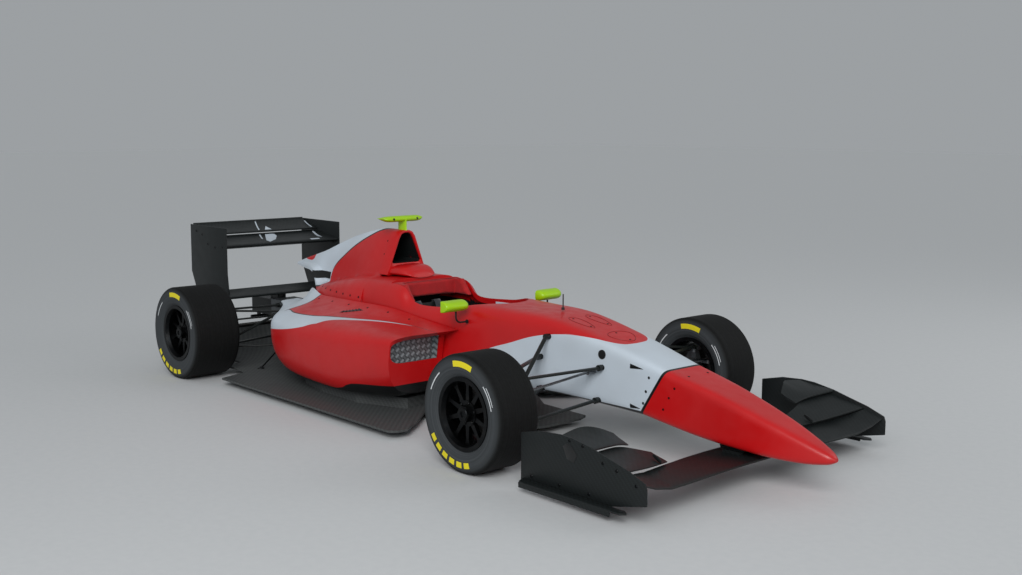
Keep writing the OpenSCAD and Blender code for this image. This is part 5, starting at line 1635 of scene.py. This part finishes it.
@dataclass
class Wheel:
    """One wheel: its slick tyre with printed marks, and the finish of its rim and hub."""

    name: str
    centre: Triple
    diameter: float
    width: float
    face: float
    seat: float = 165.3
    prints: tuple[Quad, ...] = ((228, 256, 70, 102),) + tuple(
        (228, 256, 212 + 13 * k, 221 + 13 * k) for k in range(6)
    )
    lines: tuple[Quad, ...] = ((230, 236, 14, 44), (244, 248, 18, 40), (230, 236, 130, 158))
    peg: Line = ((0.1, 5.0), (5.0, 5.0), (7.0, 3.0), (7.0, -2.0))
    peg_circle: float = 53.0
    valve: Line = ((0.1, 22), (3, 22), (3.4, 20), (3.4, 8), (5, 7), (5, -10))
    valve_circle: float = 146.0
    valve_turn: float = 0.5

    @property
    def hand(self) -> int:
        """Returns 1 on the left and -1 on the right."""
        return 1 if self.centre[1] > 0 else -1

    def profile(self) -> Array:
        """Returns the tyre's section as rows of radius and place along the axle."""
        r, w = self.diameter / 2, self.width / 2
        flank = r - 26
        right = [
            (self.seat, w - 22), (180, w - 21), (184, w - 17), (190, w - 13), (194, w - 9), (196, w - 8), (200, w - 7),
            (212, w - 2), (224, w), (238, w), (flank - 8, w - 0.8),
        ]
        right += [(flank + 26 * sin(a), w - 28 + 26 * cos(a)) for a in np.radians(np.linspace(0, 86, 12))]
        right += [(r - 0.4, w - 40), (r, w - 60), (r, w * 0.3)]
        return np.array(right + [(radius, -h) for radius, h in right[::-1]])

    def flank_at(self, radius: float) -> float:
        """Returns how far the sidewall stands from the tyre's middle at a radius."""
        rows = self.profile()[:23]
        return float(np.interp(radius, rows[:, 0], rows[:, 1]))

    def build(self, frame: Frame) -> None:
        """Builds the tyre and dresses the rim and the hub."""
        body = f"wheel_{self.name}"
        rubber = Rubber(f"slick_rubber_{self.name}", centre=self.centre, diameter=self.diameter)
        tyre = Mesh().lathe(self.profile(), self.centre, (0, 1, 0), 144, closed=True).object(f"slick_{self.name}", 50)
        fit(tyre, rubber, body, [f"tyre_{self.name}"])
        coat(frame, DARK_ALLOY, f"rim_{self.name}")
        coat(frame, BRAKE_STEEL, f"hub_{self.name}")
        yellow, white = Mesh(), Mesh()
        for side in (1, -1):
            for mark in self.prints:
                self.arc(yellow, side, *mark)
            for mark in self.lines:
                self.arc(white, side, *mark)
        fit(yellow.object(f"yellow_print_{self.name}", 60), TYRE_YELLOW, body)
        fit(white.object(f"white_print_{self.name}", 60), TYRE_WHITE, body)
        self.build_nut(body)

    def build_nut(self, body: str) -> None:
        """Builds the lock ring on the wheel nut, the drive pegs round it and the valve."""
        x, y, z = self.centre
        out = (0, self.hand, 0)
        nut, pegs = Mesh(), Mesh()
        step = self.face + 24
        ring = [(14, step - 2), (14, step + 3), (17, step + 5), (30, step + 5), (33, step + 2), (33, step - 2)]
        nut.lathe(ring, self.centre, out, 36)
        nut.lathe([(0.1, step - 1), (14, step - 1)], self.centre, out, 36)
        r = self.peg_circle
        for turn in np.radians(np.arange(6) * 60 + 15):
            place = (x + r * cos(turn), y + self.hand * self.face, z + r * sin(turn))
            pegs.lathe(self.peg, place, out, 16)
        r, turn = self.valve_circle, self.valve_turn
        valve = (x + r * cos(turn), y + self.hand * (self.face - 6), z + r * sin(turn))
        pegs.lathe(self.valve, valve, out, 14)
        fit(nut.object(f"wheel_nut_ring_{self.name}", 30), DARK_ALLOY, body)
        fit(pegs.object(f"drive_pegs_{self.name}", 30), DARK_ALLOY, body)

    def arc(self, made: Mesh, side: int, low: float, high: float, start: float, end: float) -> None:
        """Adds a printed arc on a sidewall.

        Args:
            made: The piece to add it to.
            side: 1 on the left sidewall and -1 on the right one.
            low: Inner radius.
            high: Outer radius.
            start: First angle from the front, in degrees.
            end: Last angle.
        """
        grow = self.diameter / FRONT_TYRE
        radii = np.linspace(low * grow, high * grow, 6)
        x, y, z = self.centre
        rings = []
        for turn in np.radians(np.linspace(start, end, max(4, int((end - start) / 2)))):
            spoke = (cos(turn), sin(turn))
            ring = [(x + r * spoke[0], y + side * (self.flank_at(r) + 0.7), z + r * spoke[1]) for r in radii]
            rings.append(np.array(ring))
        made.loft(rings, (False, False), False)


@dataclass
class RunningGear:
    """The suspension, the uprights and the steering rack."""

    def build(self, frame: Frame) -> None:
        """Dresses the suspension's rods and the parts that they carry."""
        coat(frame, SUSPENSION, "front_wishbones", "front_pushrods", "rear_wishbones", "rear_pushrods", "toe_links")
        coat(frame, CAST_ALLOY, "front_upright_left", "front_upright_right", "rear_uprights")
        coat(frame, ROD_STEEL, "steering_rack")


@dataclass
class Underbody:
    """The floor with its stays, the plank under it and the diffuser."""

    stay_foot: Triple = (-2595.0, 485.0, 50.3)
    stay_top: Triple = (-2390.0, 309.0, 345.0)
    stay_radius: float = 5.0
    stay_boss: Line = ((0.1, 12), (6, 12), (9, 9), (10, 5), (22, 4), (24, 0))

    def build(self, frame: Frame) -> None:
        """Dresses the floor's pieces and builds the stays that hold it up."""
        coat(frame, GREY_COMPOSITE, "floor", "diffuser")
        coat(frame, SKID_WOOD, "skid_plank")
        stays = Mesh()
        for hand in HANDS:
            foot, top = (np.array(p) * [1, hand, 1] for p in (self.stay_foot, self.stay_top))
            stays.tube([foot + (top - foot) * s for s in (0.02, 0.5, 1.0)], self.stay_radius, 14)
            stays.lathe(self.stay_boss, foot, UP, 24)
        fit(stays.object("floor_stays", 40), DARK_ALLOY)


@dataclass
class Powertrain:
    """The engine, the gearbox and what is bolted behind them."""

    lamp: Triple = (-3464.0, 301.0, 385.0)
    lamp_half: float = 27.0
    lens: Line = ((0.1, 3.0), (2.4, 2.6), (4.2, 1.2), (4.8, -0.6))

    def build(self, frame: Frame) -> None:
        """Dresses the castings, the crash structure and the rain light, and sets the light's lenses."""
        coat(frame, CAST_ALLOY, "engine_block", "gearbox")
        coat(frame, CARBON, "crash_structure")
        coat(frame, BLACK_PLASTIC, "rain_light")
        lenses = Mesh()
        x, low, high = self.lamp
        for z in np.linspace(low + 9, high - 9, 7):
            for y in np.linspace(-self.lamp_half, self.lamp_half, 6):
                lenses.lathe(self.lens, (x, y, z), (-1, 0, 0), 14)
        fit(lenses.object("rain_light_lenses", 40), LENS)


@dataclass
class SteeringWheel:
    """The steering wheel: a carbon plate with two grips, keys and a display, on its column."""

    centre: Triple = (-820.0, 0.0, 555.0)
    tilt: float = 12.0
    radius: float = 120.0
    grip: float = 12.0
    plate: Line = (
        (-52, -84), (-30, -118), (30, -118), (58, -84), (58, 84), (30, 118), (-30, 118), (-52, 84),
    )
    plate_half: float = 12.0
    grip_reach: float = 35.0
    grip_hollow: float = 0.06
    display: Triple = (34.0, 52.0, 12.0)
    boss: Line = ((12, -40), (26, -40), (30, -36), (30, -22), (36, -18), (36, -11), (12, -11))
    paddle: Line = ((-26, 40), (26, 40), (34, 96), (-14, 100))
    column: Triple = (-12.0, -120.0, -230.0)
    key: Line = ((0.1, 16.5), (5.0, 16.2), (6.4, 15.0), (6.8, 11.5))
    red_places: Line = ((44, 70), (0, 76))
    yellow_places: Line = ((22, 74), (-22, 74))
    knob: Line = ((0.1, 20), (7.0, 20), (8.6, 18.6), (9.2, 13), (11.0, 12.4), (11.0, 11.5))
    knob_places: Line = ((-36, 44), (-36, -44), (-36, 0))

    def put(self, made: Mesh, name: str, finish: Finish, slot: str, bevel: float = 0.0,
            stands_for: Sequence[str] = ()) -> None:
        """Moves a piece to the column's end and dresses it.

        Args:
            made: The piece, drawn with X up the wheel, Y to the left and Z to the driver.
            name: Its name.
            finish: Its finish.
            slot: The record's material slot name, which is not used.
            bevel: Width of a bevel on sharp edges.
            stands_for: The CAD nodes that it replaces.
        """
        s, c = sin(radians(self.tilt)), cos(radians(self.tilt))
        made.move(self.centre, ((s, 0, c), (0, 1, 0), (-c, 0, s)))
        fit(made.object(name, 32, bevel), finish, "steering_wheel", stands_for)

    def build(self) -> None:
        """Builds the plate, the grips, the keys and the column."""
        plate = Mesh().prism(self.plate, 2, -self.plate_half, self.plate_half)
        self.put(plate, "wheel_plate", CARBON, "carbon_composite", 3.0, ["steering_wheel"])
        grips, around = Mesh(), full_turn(20)
        for middle in (90, 270):
            turns = np.radians(np.linspace(middle - self.grip_reach, middle + self.grip_reach, 40))
            rings = []
            for k, turn in enumerate(turns):
                # Shallow hollows keep the fingers in place, and the ends are drawn in.
                hollow = 1.0 - self.grip_hollow * cos(2 * pi * k / 9)
                thick = self.grip * hollow * (0.75 if k in (0, len(turns) - 1) else 1.0)
                spoke = np.array((cos(turn), sin(turn), 0))
                ring = [spoke * (self.radius + thick * cos(a)) + (0, 0, thick * sin(a)) for a in around]
                rings.append(np.array(ring))
            grips.loft(rings)
        self.put(grips, "wheel_grips", GRIP_RUBBER, "grip_plastic")
        tall, wide, rise = self.display
        screen = Mesh().prism([(tall * u, wide * v) for u, v in rounded(6.0)], 2, 11, 14).move((rise, 0, 0), np.eye(3))
        self.put(screen, "wheel_display", SCREEN, "grip_plastic", 1.0)
        self.build_keys()
        back = Mesh()
        back.lathe(self.boss, (0, 0, 0), UP, 36)
        for hand in HANDS:
            back.prism([(u, hand * v) for u, v in self.paddle], 2, -24, -20)
        self.put(back, "wheel_boss_and_paddles", DARK_ALLOY, "dark_alloy", 0.8)
        column = Mesh().tube([(0, 0, z) for z in self.column], 12, 24)
        self.put(column, "steering_column", ROD_STEEL, "steel_rod")

    def build_keys(self) -> None:
        """Builds the keys and the rotary switches on the plate."""
        red, yellow, knobs = Mesh(), Mesh(), Mesh()
        for hand in HANDS:
            for made, places in ((red, self.red_places), (yellow, self.yellow_places)):
                for u, v in places:
                    made.lathe(self.key, (u, hand * v, 0), UP, 20)
        for u, v in self.knob_places:
            knobs.lathe(self.knob, (u, v, 0), UP, 24)
        self.put(red, "wheel_red_keys", RED_KEY, "grip_plastic")
        self.put(yellow, "wheel_yellow_keys", YELLOW_KEY, "grip_plastic")
        self.put(knobs, "wheel_knobs", BLACK_PLASTIC, "grip_plastic")


@dataclass
class Cockpit:
    """The headrest, the padded seat with its harness, the dash and the antenna before it."""

    tub: Monocoque
    headrest_side: Line = ((-1494, 606), (-1304, 606), (-1378, 703), (-1494, 703))
    headrest_back: Line = ((-1494, 606), (-1437, 606), (-1437, 703), (-1494, 703))
    back_top: Pair = (-1458.0, 566.0)
    back_foot: Pair = (-1352.0, 116.5)
    pan: Line = ((-1016, 196.5), (-1230, 110.5), (-1320, 110.5))
    headrest_half: float = 229.0
    headrest_inside: float = 200.0
    piping: tuple[Triple, ...] = (
        (-1386, 199, 703), (-1402, 198, 706), (-1422, 198, 706), (-1432, 193, 706), (-1435, 180, 706),
        (-1435, 90, 706),
    )
    pad_rise: Pair = (6.0, 15.0)
    pad_reach: Pair = (40.0, 400.0)
    pad_voxel: float = 5.0
    pad_cap: float = 5.0
    seams: Quad = (110.0, 190.0, 270.0, 340.0)
    buckle: float = 372.0
    shoulder_top: tuple[Triple, ...] = ((-1478, 74, 560), (-1474, 74, 574), (-1456, 74, 580))
    shoulder: tuple[Triple, ...] = (
        (8, 73, 18), (60, 71, 24), (140, 64, 25), (220, 54, 26), (300, 40, 28), (350, 26, 31),
    )
    lap: tuple[Triple, ...] = ((-1318, 80, 176), (-1316, 118, 150), (-1318, 132, 130))
    crotch: tuple[Triple, ...] = ((-1290, 20, 146), (-1240, 22, 138), (-1222, 22, 136))
    strap_widths: Triple = (48.0, 44.0, 30.0)
    strap_thickness: float = 2.5
    disc: Line = ((0.1, 14), (12, 14), (14, 12), (26, 11), (31, 8), (33, 3), (33, -3), (0.1, -3))
    bulkhead: Quad = (-650.0, -630.0, -610.0, 440.0)
    bush: Line = ((13, 4), (13, -6), (26, -6), (28, -2), (28, 0), (24, 4))
    bush_centre: Triple = (-652.0, 0.0, 519.0)
    bush_axis: Triple = (-0.978, 0.0, 0.208)
    hood: tuple[Triple, ...] = ((-648, 92, 606), (-676, 84, 604), (-704, 70, 598))

    def build(self, frame: Frame) -> None:
        """Dresses the seat and the antenna and builds the cockpit's other pieces."""
        coat(frame, CARBON, "seat")
        coat(frame, BLACK_PLASTIC, "antenna")
        self.build_headrest()
        self.build_pads()
        self.build_harness()
        self.build_dash()

    def build_headrest(self) -> None:
        """Builds the padded horseshoe round the driver's head and the piping on its edge."""
        half = self.headrest_half
        made = Mesh().prism(self.headrest_back, 1, -half, half)
        for hand in HANDS:
            made.prism(self.headrest_side, 1, hand * self.headrest_inside, hand * half)
        pad = made.object("headrest_pad", merge=False)
        inflate(pad, self.pad_voxel, self.pad_cap)
        fit(pad, PAD_COVER, stands_for=["headrest"])
        path = [*self.piping, *((x, -y, z) for x, y, z in self.piping[::-1])]
        fit(Mesh().tube(path, 3.0, 10).object("headrest_piping", 60), PAD_COVER)

    def on_back(self, along: float, across: float, rise: float) -> Triple:
        """Returns a place over the seat's back.

        Args:
            along: Distance down from its top edge.
            across: Distance from the middle.
            rise: Distance from its front face.

        Returns:
            The place.
        """
        way = np.array(self.back_foot) - np.array(self.back_top)
        way /= np.linalg.norm(way)
        x, z = np.array(self.back_top) + way * along + np.array((-way[1], way[0])) * rise
        return float(x), across, float(z)

    def build_pads(self) -> None:
        """Builds the pads on the seat's back and pan."""
        (under, over), (start, end) = self.pad_rise, self.pad_reach
        outline = [self.on_back(s, 0, rise) for s, rise in rectangle((start, under), (end, over))]
        back = Mesh().prism([(x, z) for x, _, z in outline], 1, -108, 108).object("seat_back_pad", merge=False)
        top = [(x, z + over) for x, z in self.pan]
        low = [(x, z + under) for x, z in self.pan[::-1]]
        pan = Mesh().prism(top + low, 1, -112, 112).object("seat_pan_pad", merge=False)
        for pad in (back, pan):
            inflate(pad, self.pad_voxel, self.pad_cap)
            fit(pad, SEAT_CLOTH)
        seams = Mesh()
        for along in self.seams:
            seams.tube([self.on_back(along, y, 19.5) for y in np.linspace(-100, 100, 9)], 1.6, 8)
        fit(seams.object("seat_seams", 60), WEBBING)

    def build_harness(self) -> None:
        """Builds the straps, their adjusters and the buckle."""
        straps, metal = Mesh(), Mesh()
        side, slanted = (0, 1, 0), (0.5, 0, 0.85)
        buckle = self.on_back(self.buckle, 0, 34)
        for hand in HANDS:
            shoulder = [(x, hand * y, z) for x, y, z in self.shoulder_top]
            shoulder += [self.on_back(s, hand * y, rise) for s, y, rise in self.shoulder]
            lap, crotch = (
                [(buckle[0] + dx, hand * start, buckle[2] - dz), *((x, hand * y, z) for x, y, z in rest)]
                for dx, start, dz, rest in ((4, 30, 8, self.lap), (12, 16, 26, self.crotch))
            )
            for path, across, width in zip((shoulder, lap, crotch), (side, slanted, side), self.strap_widths):
                straps.strap(path, [across] * len(path), width, self.strap_thickness)
            x, y, z = self.on_back(180, hand * 59, 29)
            metal.prism(rectangle((y - 28, z - 16), (y + 28, z + 16)), 0, x - 2, x + 3)
        way = np.array(self.on_back(self.buckle, 0, 44)) - np.array(buckle)
        metal.lathe(self.disc, buckle, way.tolist(), 36)
        fit(straps.object("harness_straps", 60), WEBBING)
        fit(metal.object("harness_metal", 30, 0.8), MACHINED_ALLOY)

    def build_dash(self) -> None:
        """Builds the bulkhead that carries the column, with its bush and its hood."""
        back, middle, front, low = self.bulkhead
        row = self.tub.row(middle)
        w = self.tub.wall + 0.5
        ring = box_ring((middle, row[1] - w, row[2] - w, row[3] + w, row[4] - w, row[5], 0), 96)
        upper = [(float(y), float(z)) for _, y, z in ring if z > low]
        fit(Mesh().prism(upper, 0, back, front).object("dash_bulkhead", 30, 2.0), CARBON)
        made = Mesh().lathe(self.bush, self.bush_centre, self.bush_axis, 30, closed=True)
        fit(made.object("column_bush", 30), DARK_ALLOY)
        turns = np.radians(np.linspace(20, 160, 24))
        rings = []
        for x, half, rise in self.hood:
            outer = [(x, half * cos(t), rise - 40 + 62 * sin(t) ** 0.7) for t in turns]
            rings.append(np.array(outer + [(x, y * 0.95, z - 4) for _, y, z in outer[::-1]]))
        fit(Mesh().loft(rings).object("dash_hood", 40), PLAIN_RED)


@dataclass
class Studio:
    """A pale floor, soft light and the camera that looks from where the photograph was taken."""

    camera_place: Triple = (4361.2, -4520.7, 1654.1)
    heading: float = 138.213
    tilt: float = -7.712
    roll: float = 0.224
    focal_px: float = 1231.1
    image_width: float = 1022.0
    sensor_width: float = 36.0
    floor_half: float = 60000.0
    floor_colour: str = "#C9CBCC"
    sky_colour: str = "#DDE2E6"
    sky_light: float = 0.46
    sky_seen: float = 0.46
    sun: float = 1.3
    sun_place: Triple = (3600, -5000, 5000)
    sun_angle: float = 30.0
    lit_point: Triple = (-0.2, 0, 0.4)
    lamps: tuple[tuple[str, Triple, float, float], ...] = (
        ("key_lamp", (3600, -5200, 3800), 130.0, 4.0), ("fill_lamp", (3200, 5200, 4200), 60.0, 4.5),
    )

    def build(self) -> None:
        """Builds the floor, the light and the camera."""
        size = self.floor_half
        floor = Mesh().put([(-size, -size, 0), (size, -size, 0), (size, size, 0), (-size, size, 0)], [(0, 1, 2, 3)])
        plane = floor.object("studio_floor")
        # Sheet vinyl, matt from its embossing rollers.
        sheet = Grained("embossed_floor_vinyl", self.floor_colour, "#BFC2C4", 0.85, metallic=0.0, grain_mm=6.0)
        plane.data.materials.append(sheet.material())
        self.light()
        self.look()

    def light(self) -> None:
        """Sets an even sky, one broad sun and two large soft lamps."""
        world = bpy.data.worlds.new("studio_sky")
        bpy.context.scene.world = world
        world.use_nodes = True
        tree = world.node_tree
        tree.nodes.clear()
        path = add(tree, "LightPath").node.outputs
        seen = add(tree, "Math", {0: path["Is Camera Ray"], 1: path["Is Glossy Ray"]}, operation="MAXIMUM")
        seen = add(tree, "Math", {0: seen, 1: path["Is Transmission Ray"]}, operation="MAXIMUM")
        strength = add(tree, "MapRange", {0: seen, 1: 0.0, 2: 1.0, 3: self.sky_light, 4: self.sky_seen})
        sky = add(tree, "Background", {"Color": linear(self.sky_colour), "Strength": strength})
        add(tree, "OutputWorld", {"Surface": sky})
        sun = bpy.data.lights.new("broad_sun", "SUN")
        sun.energy, sun.angle = self.sun, radians(self.sun_angle)
        self.place_lamp("broad_sun", sun, self.sun_place)
        for name, place, power, size in self.lamps:
            data = bpy.data.lights.new(name, "AREA")
            data.energy, data.shape, data.size = power, "DISK", size
            self.place_lamp(name, data, place)

    def place_lamp(self, name: str, data: bpy.types.Light, place: Point) -> None:
        """Hangs a lamp that looks at the car.

        Args:
            name: The lamp's name.
            data: The lamp.
            place: Where it hangs.
        """
        lamp = bpy.data.objects.new(name, data)
        lamp.location = (Vector(place) + ORIGIN) * MM
        lamp.rotation_euler = (Vector(self.lit_point) - lamp.location).to_track_quat("-Z", "Y").to_euler()
        bpy.context.scene.collection.objects.link(lamp)

    def look(self) -> None:
        """Places the camera."""
        data = bpy.data.cameras.new("studio_camera")
        data.sensor_width = self.sensor_width
        data.lens = self.sensor_width * self.focal_px / self.image_width
        camera = bpy.data.objects.new("studio_camera", data)
        turn, tilt = radians(self.heading), radians(self.tilt)
        way = Vector((cos(tilt) * cos(turn), cos(tilt) * sin(turn), sin(tilt)))
        place = (Vector(self.camera_place) + ORIGIN) * MM
        aim = way.to_track_quat("-Z", "Y").to_matrix().to_4x4()
        camera.matrix_world = Matrix.Translation(place) @ aim @ Matrix.Rotation(radians(self.roll), 4, "Z")
        bpy.context.scene.collection.objects.link(camera)
        bpy.context.scene.camera = camera


def main() -> None:
    """Builds the car's looks in order."""
    logging.basicConfig(level=logging.INFO, format="%(name)s %(message)s")
    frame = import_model()
    bpy.context.scene.view_settings.view_transform = "Standard"
    tub, cover = Monocoque(), EngineCover()
    surface = tub.build()
    tub.build_pads()
    tub.build_marks(surface)
    tub.build_trim(surface)
    NoseCone().build()
    RollHoop().build()
    cover.build()
    Sidepods(tub, cover).build()
    FrontWing().build()
    RearWing().build()
    CameraPod().build()
    Mirrors().build(frame)
    Cockpit(tub).build(frame)
    SteeringWheel().build()
    wheels = (
        Wheel("front_left", (0, 817.5, 287.5), FRONT_TYRE, 250, 82),
        Wheel("front_right", (0, -817.5, 287.5), FRONT_TYRE, 250, 82),
        Wheel("rear_left", (REAR_AXLE, 785, 295), 590, 315, 100),
        Wheel("rear_right", (REAR_AXLE, -785, 295), 590, 315, 100),
    )
    for wheel in wheels:
        wheel.build(frame)
    RunningGear().build(frame)
    Underbody().build(frame)
    Powertrain().build(frame)
    Studio().build()
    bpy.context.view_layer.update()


if __name__ == "__main__":
    main()
